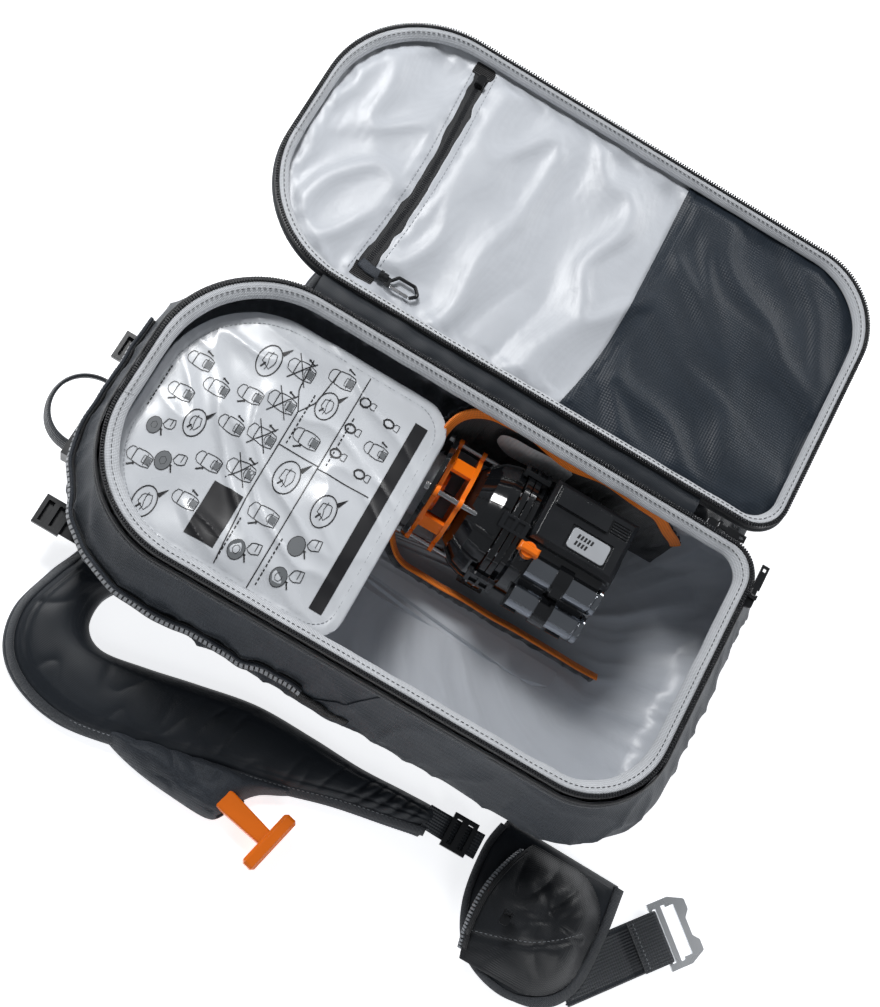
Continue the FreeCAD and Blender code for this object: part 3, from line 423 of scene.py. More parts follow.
TWILL = ribbed("twill_binding", (0.045, 0.051, 0.06), 0.62, 1.7, 0.35, diagonal=True)
WEBBING = ribbed("webbing_ribs", (0.06, 0.066, 0.075), 0.46, 2.7, 0.5)
ORANGE_TAPE = ribbed("orange_tape", (0.95, 0.23, 0.012), 0.5, 1.3, 0.2, across=True)
TOOTH = plastic("zip_tooth", (0.02, 0.021, 0.024), 0.25, coat=0.4)
TOOTH_GREY = plastic("burst_tooth", (0.2, 0.215, 0.235), 0.28, coat=0.4)
THREAD = plastic("thread_dark", (0.012, 0.013, 0.015), 0.6)
THREAD_LIGHT = plastic("thread_light", (0.35, 0.37, 0.4), 0.6)
INK = plastic("ink_black", (0.012, 0.012, 0.014), 0.4)
INK_GREY = plastic("ink_grey", (0.14, 0.15, 0.16), 0.4)
GLOSS = plastic("black_gloss", (0.005, 0.0055, 0.0065), 0.1, coat=1.0)
SATIN = plastic("black_satin", (0.01, 0.011, 0.013), 0.27, 0.012, coat=0.3)
ORANGE = plastic("orange_plastic", (0.95, 0.19, 0.006), 0.24, 0.015, coat=0.4)
STEEL = plastic("bright_steel", (0.6, 0.6, 0.61), 0.2, metallic=1.0, scratch=0.02)
CHROME = plastic("drawn_metal", (0.4, 0.42, 0.45), 0.1, metallic=1.0, scratch=0.01)
ALUMINIUM = plastic("satin_aluminium", (0.8, 0.82, 0.84), 0.28, metallic=0.55, grain=0.015)
BLACK_METAL = plastic("black_metal", (0.02, 0.021, 0.023), 0.3, metallic=0.6, coat=0.3)
BUCKLE = plastic("buckle_plastic", (0.014, 0.015, 0.017), 0.33, 0.03)
RUBBER = plastic("black_rubber", (0.015, 0.015, 0.016), 0.6, 0.04)
BOARD = plastic("board_green", (0.012, 0.12, 0.035), 0.35, 0.01)
LABEL = plastic("label_silver", (0.5, 0.52, 0.55), 0.3, metallic=0.3)
HOOK_TAPE = fabric("hook_tape", (0.008, 0.008, 0.009), 0.85, 1.6, 1.2, 0.6, 0.2)

paint({
        "duct_collar": GLOSS, "guide_rods": STEEL, "valve_cage": ORANGE, "valve_plate": ORANGE,
        "intake_bell": GLOSS,
        "ring_latches": SATIN, "ring_screws": STEEL, "clamp_rings": GLOSS, "motor_housing": GLOSS,
        "supercapacitors": CHROME, "control_cover": SATIN, "circuit_board": BOARD, "backup_cells": STEEL,
        "status_window": LABEL, "power_knob": ORANGE, "charge_cap": RUBBER, "fan_impeller": SATIN,
        "fan_motor": STEEL,
        "pocket_zip_slider": BLACK_METAL, "key_hook": BLACK_METAL, "hook_gate": STEEL,
        "zip_slider_hinge_side": BLACK_METAL, "zip_slider_bottom": BLACK_METAL,
        "zip_pull_hinge_side": BLACK_METAL,
        "zip_pull_bottom": BLACK_METAL, "fin_zip_slider_near": BLACK_METAL, "trigger_handle": ORANGE,
        "strap_ladder_lock_near": BUCKLE, "strap_ladder_lock_far": BUCKLE, "loop_buckle_near": ALUMINIUM,
        "hook_buckle_far": ALUMINIUM, "back_frame": SATIN, "top_webbing": BUCKLE, "back_pad": PAD,
        "lumbar_pad": PAD,
        "air_duct": AIRBAG})

# ------------------------------------------------------------------ body surfaces
RIM_X, RIM_Y = 268.0, 132.0
TOP_R, NEAR_R, FAR_R = 100.0, 72.0, 30.0
BULGE = (20.0, 28.0, 20.0)       # top end, hip belt end, sides
SHARE_Z = np.array([24.0, 52.0, 112.0, 160.0])
SHARE = np.array([0.15, 1.0, 0.72, 0.08])


def share(z):
    """How much of the bulge the wall has at a height: the cubic through the CAD's four sections."""
    total = 0.0
    for i in range(4):
        term = SHARE[i]
        for j in range(4):
            if j != i:
                term = term * (z - SHARE_Z[j]) / (SHARE_Z[i] - SHARE_Z[j])
        total += term
    return min(1.06, max(0.0, total))


def body_ring(z, inset, n, s=None):
    s = share(z) if s is None else s
    radii = [max(8.0, r + (BULGE[2] * s - inset) * 0.6) for r in (TOP_R, NEAR_R, FAR_R, TOP_R)]
    return rounded(-RIM_X - BULGE[0] * s + inset, RIM_X + BULGE[1] * s - inset, -RIM_Y - BULGE[2] * s + inset,
                   RIM_Y + BULGE[2] * s - inset, radii, n, z)


def outward(ring):
    return -across_vectors(ring, True)


def bell_curve(x, centre, width):
    return np.exp(-((x - centre) / width) ** 2)


# shell: wall from under the pack up to the zip, with the folds of an unloaded bag
N_RING = 560
heights = [24, 24, 24, 26, 31, 38] + list(np.linspace(45, 153, 26)) + [157, 160]
insets = [70, 30, 10, 3, 0, 0] + [0] * 28
rings = []
for z, inset in zip(heights, insets):
    ring = body_ring(z, inset, N_RING)
    out = outward(ring)
    if inset < 10:
        span = math.sin(math.pi * min(1, max(0, (z - 26) / 134))) ** 0.7
        near = bell_curve(ring[:, 1], -RIM_Y - 12, 40)
        low = perlin(ring, 1 / 120, 5.0) * 4.0 + perlin(ring, 1 / 45, 9.0) * 1.6
        sag = folds(ring, (1, 0.15, -0.45), 190, 42, 2.0) * 5.5 * (0.3 + 0.7 * near)
        sag += folds(ring, (0.2, 0.3, 1), 110, 30, 6.0, 3.0) * 2.6
        pucker = np.sin(np.arange(N_RING) * 2 * math.pi / 9.0) * 0.5 * bell_curve(z, 158, 5)
        ring = ring + out * ((low - 1.5 + sag) * span + pucker)[:, None]
        # the near wall slumps above the burst zip
        slump = near * bell_curve(z, 100, 26) * bell_curve(ring[:, 0], -120, 170) * 4.0
        ring[:, 2] -= slump
    rings.append(ring)
shell = surface("shell_fabric", np.stack(rings, 1), SHELL, "pack_body", closed_u=True)
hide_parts("main_shell")

# lining: inner walls and floor
rings = []
for z, inset in [(160, 4.4), (150, 4.5), (138, 5), (120, 5.5), (100, 6), (80, 6), (62, 7), (50, 9), (42, 14),
                 (38, 24), (37, 45), (37, 80), (37, 110)]:
    ring = body_ring(z, inset, 420)
    out = outward(ring)
    deep = min(1.0, (160 - z) / 40)
    crumple = folds(ring, (0.2, 0.2, 1), 90, 16, 12.0, 2.5) * 6 + perlin(ring, 1 / 40, 3.0) * 2.5 + 2.5
    if inset < 20:
        ring = ring - out * (np.clip(crumple, 0, None) * deep)[:, None]
    else:
        ring[:, 2] += np.clip(folds(ring, (1, 0.6, 0), 90, 22, 4.0) * 4, 0, None)
    rings.append(ring)
lining = surface("body_lining", np.stack(rings, 1), LINING, "pack_body", closed_u=True)
close_ends(lining, [(i + 1) * len(rings) - 1 for i in range(420)])
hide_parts("inner_lining")


# ------------------------------------------------------------------ more helpers
def rounded_gap(x, y, x0, x1, y0, y1, radii):
    """How far points lie inside a rounded rectangle; negative outside. radii as in rounded()."""
    cx, cy = (x0 + x1) / 2, (y0 + y1) / 2
    a, b, c, d = radii
    r = np.where(y < cy, np.where(x < cx, a, b), np.where(x < cx, d, c))
    qx = np.abs(x - cx) - (x1 - x0) / 2 + r
    qy = np.abs(y - cy) - (y1 - y0) / 2 + r
    return -(np.minimum(np.maximum(qx, qy), 0) + np.hypot(np.maximum(qx, 0), np.maximum(qy, 0)) - r)


def clipped(name, area, step, gap, height, material, body, thickness=0.0):
    """A sheet over an area (x0, x1, y0, y1), kept where gap(x, y) is positive, at height(x, y)."""
    x0, x1, y0, y1 = area
    xs = np.linspace(x0, x1, int((x1 - x0) / step) + 1)
    ys = np.linspace(y0, y1, int((y1 - y0) / step) + 1)
    x, y = (a.ravel() for a in np.meshgrid(xs, ys, indexing="ij"))
    g = gap(x, y)
    slope = np.stack([gap(x + 0.5, y) - gap(x - 0.5, y), gap(x, y + 0.5) - gap(x, y - 0.5)], 1)
    slope /= np.maximum(1e-6, np.linalg.norm(slope, axis=1))[:, None]
    edge = (g < 0) & (g > -1.45 * step)
    x = np.where(edge, x - slope[:, 0] * g, x)
    y = np.where(edge, y - slope[:, 1] * g, y)
    keep = (g > -1.45 * step).reshape(len(xs), len(ys))
    inner = (g > 0).reshape(len(xs), len(ys))
    number = -np.ones(keep.shape, int)
    faces, used = [], []
    for i in range(len(xs) - 1):
        for k in range(len(ys) - 1):
            cell = [(i, k), (i + 1, k), (i + 1, k + 1), (i, k + 1)]
            if all(keep[c] for c in cell) and any(inner[c] for c in cell):
                face = []
                for c in cell:
                    if number[c] < 0:
                        number[c] = len(used)
                        used.append(c[0] * len(ys) + c[1])
                    face.append(int(number[c]))
                faces.append(tuple(face))
    used = np.array(used)
    verts = np.stack([x[used], y[used], height(x[used], y[used])], 1)
    obj = mesh_object(name, verts, faces, material, body, verts[:, :2])
    if thickness:
        solid = obj.modifiers.new("thickness", "SOLIDIFY")
        solid.thickness = thickness * MM
        solid.offset = -1
    return obj


def inside_gap(x, y, ring, near=None):
    """Distance inside a closed outline; negative outside. near may be a coarser copy for the distance."""
    inside = np.zeros(len(x), bool)
    for (ax, ay), (bx, by) in zip(ring, ring[1:]):
        inside ^= ((ay > y) != (by > y)) & (x < (bx - ax) * (y - ay) / (by - ay + 1e-12) + ax)
    d = near_line(x, y, ring if near is None else near)
    return np.where(inside, d, -d)


def near_line(x, y, points):
    """Distance of points from a polyline."""
    best = np.full(len(x), 1e9)
    for (ax, ay), (bx, by) in zip(points, points[1:]):
        dx, dy = bx - ax, by - ay
        t = np.clip(((x - ax) * dx + (y - ay) * dy) / (dx * dx + dy * dy), 0, 1)
        best = np.minimum(best, np.hypot(x - ax - t * dx, y - ay - t * dy))
    return best


def flat(x, y, z=0.0):
    return np.stack([x, y, np.full(len(x), z)], 1)


def buckled(nx, ny, step, excess, start, pinned, low, high, rounds=260):
    """Heights of a sheet a little larger than the frame that holds it: springs settle into wrinkles.

    excess is the extra length along x and y, start the first heights, pinned a mask of held points."""
    p = np.stack(np.meshgrid(np.arange(nx) * step, np.arange(ny) * step, indexing="ij") + [start],
                 2).astype(float)
    home = p.copy()
    w = np.where(pinned, 0.0, 1.0)
    links = []
    for di, dk, stiff in ((1, 0, 1), (0, 1, 1), (1, 1, 0.6), (1, -1, 0.6), (3, 0, 0.35), (0, 3, 0.35)):
        rest = math.hypot(di * step * (1 + excess[0]), dk * step * (1 + excess[1]))
        links.append((di, dk, rest, stiff))
    for _ in range(rounds):
        push, weight = np.zeros_like(p), np.full((nx, ny), 1e-6)
        for di, dk, rest, stiff in links:
            a = (slice(0, nx - di), slice(max(0, -dk), ny - max(0, dk)))
            b = (slice(di, nx), slice(max(0, dk), ny + min(0, dk)))
            d = p[b] - p[a]
            length = np.linalg.norm(d, axis=2)
            off = (length - rest) / length * stiff
            if di + abs(dk) > 2:
                off = np.minimum(off, 0)      # bending only pushes the ends apart
            d *= off[..., None] * 0.5
            push[a] += d
            push[b] -= d
            weight[a] += stiff
            weight[b] += stiff
        p += push / weight[..., None] * w[..., None] * 1.6
        p[..., 2] = np.clip(p[..., 2], low, high)
        p = np.where(pinned[..., None], home, p)
    return p[..., 2]


def field(values, x0, y0, step):
    """Smooth lookup of a grid of values at (x, y)."""
    e = np.pad(values, 1, mode="edge")
    v = (e[1:-1, 1:-1] * 4 + e[:-2, 1:-1] + e[2:, 1:-1] + e[1:-1, :-2] + e[1:-1, 2:]) / 8

    def at(x, y):
        i, k = (np.asarray(x) - x0) / step, (np.asarray(y) - y0) / step
        i, k = np.clip(i, 0, v.shape[0] - 1.001), np.clip(k, 0, v.shape[1] - 1.001)
        a, b = i.astype(int), k.astype(int)
        s, t = i - a, k - b
        s, t = s * s * (3 - 2 * s) * 0.5 + s * 0.5, t * t * (3 - 2 * t) * 0.5 + t * 0.5
        return (v[a, b] * (1 - s) * (1 - t) + v[a + 1, b] * s * (1 - t) + v[a, b + 1] * (1 - s) * t
                + v[a + 1, b + 1] * s * t)
    return at


def eased(line, times=6):
    """A line with its small zigzags averaged out; its ends stay."""
    p = np.array(line, float)
    for _ in range(times):
        p[1:-1] = (p[:-2] + 2 * p[1:-1] + p[2:]) / 4
    return p


def onto(tree, line, out, lift, smoothing=6):
    """Moves a line onto a surface, looking inwards from outside it."""
    rows = []
    for point, o in zip(line, out):
        start = Vector((point + o * 30) * MM)
        hit = tree.ray_cast(start, -Vector(o))[0]
        rows.append(np.array(hit) / MM + o * lift if hit is not None else point + o * lift)
    return eased(rows, smoothing)


def tree_of(obj):
    mesh = obj.data
    return BVHTree.FromPolygons([v.co[:] for v in mesh.vertices], [p.vertices[:] for p in mesh.polygons])


# ------------------------------------------------------------------ main zip: tape, coil, light binding
def panel_ring(z, inset, n):
    radii = [max(8.0, r - inset * 0.5) for r in (TOP_R, FAR_R, NEAR_R, TOP_R)]
    return rounded(-RIM_X + inset, RIM_X - inset, 150 + inset, 420 - inset, radii, n, z)


def lower_ring(z, inset, n):
    return body_ring(z, inset, n, 0.0)


def main_zip(name, ring, body, node, seed, width):
    n = 1100
    profile = ((0.3, 157), (0.1, 163), (0.4, 166.4), (1.4, 167.2), (2.5, 166.6), (3.0, 164), (3.0, 158))
    tape = surface(name + "_tape", np.stack([ring(z, i, n) for i, z in profile], 1), TAPE, body,
                   True)
    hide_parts(node)
    teeth(name + "_coil", ring(167.9, 1.5, n), 2.4, (0.72, 1.6, 0.95), TOOTH, body, closed=True)
    base = ring(0, 6, n)
    wave = perlin(base, 1 / 26, seed) * 1.3
    rows = []
    for inset, z in ((2.9, 164.5), (3.4, 166.6), (5, 166.9), (9, 165.0), (13, 162.2), (15.4, 160.0),
                     (15.8, 158.4)):
        row = ring(z, 3 + (inset - 3) * width, n)
        share_in = (inset - 3) / 12 * width
        row[:, 2] += wave * share_in
        row += -outward(row) * (wave * share_in * 0.9)[:, None]
        rows.append(row)
    surface(name + "_binding", np.stack(rows, 1), BINDING, body, True)
    seam = rows[3].copy()
    seam[:, 2] += 0.7
    stitches(name + "_stitches", seam, THREAD, body, closed=True, pitch=4.6,
             size=(1.3, 0.22, 0.22))


main_zip("lower_zip", lower_ring, "pack_body", "main_zip_lower", 4.0, 0.85)
main_zip("upper_zip", panel_ring, "front_panel", "main_zip_upper", 14.0, 0.62)

# storm band outside the zip: two rows of tape
n = 1000
for k, (z0, z1) in enumerate(((159.4, 154.6), (153.6, 148.4))):
    rows = [body_ring(z, -g, n) for z, g in ((z0, 0.2), (z0 - 0.5, 1.3), ((z0 + z1) / 2, 1.9),
                                             (z1 + 0.5, 1.5), (z1, 0.2))]
    surface("storm_band_%d" % k, np.stack(rows[::-1], 1), TWILL if k else TAPE, "pack_body", True)

# ------------------------------------------------------------------ burst zip on the shell
shell_tree = tree_of(shell)
ring = body_ring(98, 0, 2000)
inside = (ring[:, 0] < -18) & (ring[:, 1] < 58)
first = int(np.flatnonzero(inside & ~np.roll(inside, 1))[0])
ring = np.roll(ring, -first, 0)[:int(inside.sum())]
ring = resample(ring, 420)
ring[:, 2] = 99 - 15 * bell_curve(ring[:, 0], -130, 90) * (ring[:, 1] < -60) + perlin(ring, 1 / 60, 2.0) * 1.5
out = horizontal(np.cross(np.gradient(ring, axis=0), (0, 0, 1)))
line = onto(shell_tree, ring, out, 2.2, 60)
out = out + np.array((0, 0, 0.45))
burst = strip("burst_tape", line, 7.0, 1.6, TAPE, "pack_body", up=out)
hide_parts("burst_zip")
teeth("burst_teeth", line + out * 1.3, 4.4, (1.5, 3.0, 1.3), TOOTH_GREY, "pack_body", up=out)
for side in (-1, 1):
    welt = line + np.array((0, 0, side * 8.5)) + out * 0.2
    tube_mesh("burst_welt_%d" % (side > 0), welt, 1.7, STRAP_SIDE, "pack_body", sides=8,
              up=out)
patch = resample([(-24, -150, 88), (-4, -150, 86), (30, -149, 80)], 30)
side_out = np.tile((0.0, -1.0, 0.12), (30, 1))
side_out /= np.linalg.norm(side_out, axis=1)[:, None]
patch = onto(shell_tree, patch, side_out, 1.6)
strip("burst_end_tab", patch, np.linspace(9, 6, 30), 2.2, HOOK_TAPE, "pack_body", up=side_out,
      crown=0.8)
strip("burst_end_lip", patch + np.array((0, 0.4, -9.5)), 4.5, 3.0, STRAP_SIDE, "pack_body",
      up=side_out,
      crown=1.5)
# a seam down the near wall where the side panels meet
seam = resample([(46, -160, 158), (30, -160, 128), (8, -160, 100), (-6, -160, 92)], 60)
seam = onto(shell_tree, seam, np.tile((0.0, -1.0, 0.0), (60, 1)), 0.5)
tube_mesh("wall_seam", seam, 0.9, STRAP_SIDE, "pack_body", sides=8, up=(0, -1, 0))

# ------------------------------------------------------------------ stowed airbag under its flap
rings = []
for z, inset, size in [(34, 14, 1), (40, 5, 1), (60, 1, 1), (90, 0, 1), (115, 2, 1), (127, 9, 1),
                       (131, 22, 1)] + [
        (132, 22, f) for f in (0.86, 0.7, 0.54, 0.4, 0.28, 0.18, 0.1, 0.04)]:
    r = rounded(-242 + inset, -38 - inset, -108 + inset, 100 - inset,
                [max(9, q - inset * 0.5) for q in (64, 24, 24, 64)],
                300, z)
    r[:, :2] = (-140, -4) + (r[:, :2] - (-140, -4)) * size
    crumple = folds(r, (1, 0.3, 0), 130, 14, 31.0, 1.6) * 5
    if z < 128:
        r = r - outward(r) * crumple[:, None]
    else:
        r[:, 2] -= crumple
    rings.append(r)
bundle = surface("airbag_folds", np.stack(rings, 1), AIRBAG, "pack_body", True)
close_ends(bundle, [(i + 1) * len(rings) - 1 for i in range(300)], [i * len(rings) for i in range(300)][::-1])
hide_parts("airbag_bundle")

FLAP_BOX = (-256.0, -17.0, -121.0, 110.0)
FLAP_RADII = (84.0, 26.0, 30.0, 88.0)


def flap_gap(x, y):
    return rounded_gap(x, y, *FLAP_BOX, FLAP_RADII)


def flap_height(x, y):
    g = np.clip(flap_gap(x, y), 0, 60)
    p = flat(x, y)
    soft = perlin(p, 1 / 75, 21.0) * 3.2 + perlin(p, 1 / 32, 8.0) * 1.0
    crease = folds(p, (0.8, -0.6, 0), 120, 30, 17.0, 2.4) * 3.4 * np.clip(g / 30, 0.25, 1)
    hem = np.where(g < 8.5, 0.7, 0.0)
    pucker = np.sin((x + y) / 2.6) * 0.28 * np.exp(-((g - 8.5) / 2.6) ** 2)
    far = np.clip((x + 60) / 45, 0, 1)
    return 138.8 + soft + crease + hem + pucker - np.exp(-g / 7) * 1.6 - far * 2.0


flap = clipped("flap_sheet", FLAP_BOX, 2.0, flap_gap, flap_height, FLAP, "guide_flap", 0.8)
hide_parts("airbag_flap")
flap_tree = tree_of(flap)
hem_line = rounded(*(FLAP_BOX[0] + 8.5, FLAP_BOX[1] - 8.5, FLAP_BOX[2] + 8.5, FLAP_BOX[3] - 8.5),
                   [r - 4 for r in FLAP_RADII], 900)
hem_line[:, 2] = flap_height(hem_line[:, 0], hem_line[:, 1]) + 0.35
stitches("flap_stitches", hem_line, THREAD_LIGHT, "guide_flap", closed=True, pitch=4.0,
         size=(1.2, 0.22, 0.2))


# the folding guide: rows of small drawings without words
def ink(name, shapes, material):
    """Thin ribbons lying on the flap. shapes: (points, width, closed) or (points, None, True) for a filled area."""
    verts, faces = [], []
    for points, width, closed in shapes:
        p = np.asarray(points, float)
        if width is None:
            base = len(verts)
            verts += [tuple(q) for q in p]
            faces.append(tuple(range(base, base + len(p))))
            continue
        length = np.linalg.norm(np.diff(np.vstack([p, p[:1]]) if closed else p, axis=0), axis=1).sum()
        p = resample(p, max(4, int(length / 3.0)), closed)
        if closed:
            t = np.roll(p, -1, 0) - np.roll(p, 1, 0)
        else:
            t = np.gradient(p, axis=0)
        t /= np.maximum(1e-9, np.linalg.norm(t, axis=1))[:, None]
        left = np.stack([-t[:, 1], t[:, 0]], 1) * width / 2
        base = len(verts)
        for q, l in zip(p, left):
            verts += [tuple(q + l), tuple(q - l)]
        m = len(p)
        for i in range(m if closed else m - 1):
            j = (i + 1) % m
            faces.append((base + 2 * i + 1, base + 2 * j + 1, base + 2 * j, base + 2 * i))
    rows = []
    for x, y in verts:
        hit = flap_tree.ray_cast(Vector((x, y, 200)) * MM, Vector((0, 0, -1)))[0]
        rows.append((x, y, hit.z / MM + 0.5 if hit else 139))
    return mesh_object(name, np.array(rows), faces, material, "guide_flap")


def ink_block(x0, x1, y0, y1):
    """A filled rectangle in small tiles, so that it follows the cloth."""
    xs, ys = np.arange(x0, x1 + 1, 1.5), np.arange(y0, y1 + 1, 1.5)
    return [([(a, c), (b, c), (b, d), (a, d)], None, True) for a, b in zip(xs, xs[1:]) for c,
            d in zip(ys, ys[1:])]


def oval(cx, cy, rx, ry, n=26):
    t = np.linspace(0, 2 * math.pi, n, endpoint=False)
    return np.stack([cx + rx * np.cos(t), cy + ry * np.sin(t)], 1)


def icon(kind, cx, cy, size, turn):
    """Line drawings about 30 mm high, in millimetres, as a list of ink shapes and a list of grey fills."""
    c, s = math.cos(turn), math.sin(turn)

    def place(points):
        p = np.asarray(points, float) * size
        return np.stack([cx + p[:, 0] * c - p[:, 1] * s, cy + p[:, 0] * s + p[:, 1] * c], 1)

    def arrow(x0, y0, x1, y1):
        dx, dy = x1 - x0, y1 - y0
        head = [(x1 + dx * 0.3, y1 + dy * 0.3), (x1 - dy * 0.3, y1 + dx * 0.3),
                (x1 + dy * 0.3, y1 - dx * 0.3)]
        return [(place([(x0, y0), (x1, y1)]), 1.3, False), (place(head), None, True)]

    lines, fills = [], []
    body = [(-6, -12), (6, -12), (8, -4), (7, 6), (-7, 6), (-8, -4)]
    lid = [(-7, 6), (7, 6), (6, 12), (0, 14), (-6, 12)]
    if kind in ("pack", "packed", "crossed"):
        lines += [(place(body), 0.7, True), (place(lid), 0.6, True),
                  (place([(-4, -12), (-4, -3), (4, -3), (4, -12)]), 0.5, False),
                  (place([(-6, -6), (6, -6)]), 0.5, False)]
        fills.append((place([(-3, -11), (3, -11), (3, -5), (-3, -5)]), None, True))
        lines += arrow(-13, 8, -9, 3) if kind == "pack" else arrow(10, -8, 12, -2)
    if kind == "crossed":
        lines += [(place([(-13, -9), (13, 9)]), 0.9, False), (place([(-13, 9), (13, -9)]), 0.9, False)]
    if kind == "round":
        lines += [(place(oval(0, 0, 15, 10)), 1.0, True),
                  (place([(-7, -3), (-3, 5), (6, 4), (8, -4), (0, -6)]), 0.6, True),
                  (place([(-9, 0), (-4, -1), (2, 1), (9, 0)]), 0.5, False)]
        lines += arrow(-8, 4, -4, 2)
        lines += [(place([(12, -6), (20, -13), (9, -9)]), None, True)]
    if kind == "airbag":
        lines += [(place(oval(-3, 5, 9, 7)), 0.6, True), (place(oval(-3, 5, 4, 3)), 0.5, True),
                  (place([(2, -2), (9, -4), (11, -12), (2, -13), (-1, -6)]), 0.7, True),
                  (place([(3, -9), (10, -9)]), 0.5, False)]
        fills.append((place(oval(-3, 5, 8.6, 6.6)), None, True))
        lines += arrow(-9, -6, -4, -3)
    if kind == "shape":
        lines += [(place(oval(0, 3, 5, 6, 8)), 1.6, True),
                  (place([(-4, -9), (-4, -3), (4, -3), (4, -9)]), 0.6, True)]
    return lines, fills


black, grey = [], []
turn = math.radians(90)
layout = []
for x, ys, kinds, size in (
        (-228, (-62, -30, 4, 36), ("pack", "airbag", "pack", "packed"), 0.85),
        (-206, (-92, -52), ("round", "airbag"), 0.95), (-205, (-14, 22), ("round", "packed"), 0.85),
        (-178, (-74, -36, 0, 32), ("packed", "pack", "packed", "pack"), 0.85), (-180, (66,), ("round",), 1.0),
        (-152, (-28, 6, 40, 74), ("crossed",) * 4, 0.95),
        (-117, (-86, -52), ("airbag", "pack"), 1.0), (-117, (-14,), ("round",), 1.05),
        (-119, (24, 58, 86), ("pack", "round", "packed"), 0.9),
        (-76, (-88, -58, -24), ("airbag", "airbag", "round"), 1.0),
        (-90, (26, 52, 78), ("shape",) * 3, 0.8), (-64, (20, 46, 72), ("shape", "packed", "shape"), 0.8)):
    for y, kind in zip(ys, kinds):
        layout.append((kind, x, y, size))
for kind, x, y, size in layout:
    lines, fills = icon(kind, x, y, size, turn)
    black += lines
    grey += fills
for points in ([(-137, -46), (-137, 40), (-146, 58), (-148, 88)], [(-99, -112), (-99, 100)],
               [(-137, -46), (-132, -108)],
               [(-99, 6), (-50, 6)], [(-137, 8), (-99, 8)], [(-137, 40), (-128, 56), (-124, 92)]):
    black.append((np.array(points, float), 0.9, False))
for x, y0, y1 in ((-132, -104, -62), (-94, -106, -60), (-132, 12, 60), (-94, 12, 60), (-246, -20, 20)):
    for k, start in enumerate(np.arange(y0, y1, 4.2)):
        black.append((np.array([(x, start), (x, start + 2.2 + (k % 3) * 0.5)]), 1.1, False))
black += ink_block(-166, -139, -98, -47) + ink_block(-47, -35, -100, 86)
ink("guide_fills", grey, INK_GREY)
ink("guide_lines", black, INK)

# ------------------------------------------------------------------ inflator sleeve with its orange tape
path = np.vstack([resample([(206, -6), (12, -6)], 60),
                  [(12 - 34 * math.sin(t), 28 - 34 * math.cos(t)) for t in np.linspace(0.05, math.pi / 2,
                                                                                       14)],
                  resample([(-22, 32), (-22, 90)], 24)[1:],
                  [(12 - 34 * math.cos(t), 90 + 34 * math.sin(t)) for t in np.linspace(0.1, math.pi / 2, 14)],
                  resample([(16, 124), (206, 124)], 70)])
path = resample(path, 420)
edge_z = np.clip(45 + (path[:, 1] + 36) * 0.6975, 50, 158) - 5.5
drop = np.clip((path[:, 0] - 150) / 56, 0, 1) * (path[:, 1] > 60)
edge_z = edge_z - drop ** 2 * 46
line = np.c_[path, edge_z]
side = horizontal(across_vectors(line))
wave = perlin(line, 1 / 34, 51.0) * 4.0 + np.sin(np.arange(420) / 9.0) * 1.2
wave *= np.clip((line[:, 2] - 52) / 30, 0.25, 1)
rows = []
for f in np.linspace(0, 1, 16):
    row = line.copy()
    row[:, 2] = 37 + (line[:, 2] - 37) * f
    crease = folds(row, (0.1, 0.1, 1), 90, 14, 61.0, 2.0) * 3.2 * math.sin(math.pi * min(1, f * 1.05))
    row = row + side * (wave * f ** 1.5 + crease - 1.5)[:, None]
    rows.append(row)
sleeve = surface("sleeve_wall", np.stack(rows, 1), SLEEVE, "pack_body")
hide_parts("inflator_sleeve")
top = rows[-1]
tilt = side * -0.75 + np.array((0, 0, 0.66))
tape = strip("sleeve_tape", top + np.array((0, 0, 0.8)), 4.9, 2.0, ORANGE_TAPE, "pack_body",
             up=tilt, crown=0.5)
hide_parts("sleeve_binding")
cut = int(np.argmin(np.abs(path[:, 1] - 84)))
elastic = top[cut:] + side[cut:] * 5.5 + np.array((0, 0, -9.0))
ruffle = np.sin(np.arange(len(elastic)) * 1.35) * 1.3
elastic = elastic + side[cut:] * ruffle[:, None]
strip("sleeve_elastic", elastic, 6.5, 1.6, STRAP_SIDE, "pack_body",
      up=side[cut:] * -1.0 + np.array((0, 0, 0.35)),
      crown=0.6)
mesh_patch = clipped("sleeve_window", (22, 92, 96, 146), 2.0,
                     lambda x, y: rounded_gap(x, y, 22, 92, 96, 146, (22, 8, 8, 20)),
                     lambda x, y: 0 * x, fabric("white_mesh", (0.6, 0.61, 0.63), 0.6, 3.4, 0.5, 0.2), None)
data = mesh_patch.data
for vertex in data.vertices:
    x, y, _ = (c / MM for c in vertex.co)
    vertex.co = Vector((x, 119.5 + math.sin(x / 9) * 0.8 - (y - 120) * 0.05, y)) * MM
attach(mesh_patch, "pack_body")

# ------------------------------------------------------------------ front panel
rings = []
middle = panel_ring(0, 30, 420).mean(axis=0)[:2]
for inset, z, size in [(0.2, 160, 1), (-0.3, 157, 1), (1.2, 153, 1), (3.4, 148.5, 1), (6.4, 144.5, 1),
                       (12, 139.5, 1), (20, 136, 1),
                       (30, 134.6, 1)] + [(30, 134.2, f) for f in (0.9, 0.8, 0.7, 0.6, 0.5, 0.4, 0.3, 0.2,
                                                                   0.1, 0.03)]:
    r = panel_ring(z, inset, 420)
    r[:, :2] = middle + (r[:, :2] - middle) * size
    p = perlin(r, 1 / 90, 41.0) * 2.4 + folds(r, (1, 0.4, 0), 220, 60, 44.0, 1.6) * 3
    if inset > 25:
        r[:, 2] += np.clip(p, 0, None)
    else:
        r += -outward(r) * (np.clip(p, 0, None) * min(1, inset / 6))[:, None]
    rings.append(r)
tray = surface("panel_fabric", np.stack(rings[::-1], 1), SHELL, "front_panel", True)
close_ends(tray, [i * len(rings) for i in range(420)][::-1])
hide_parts("panel_shell")
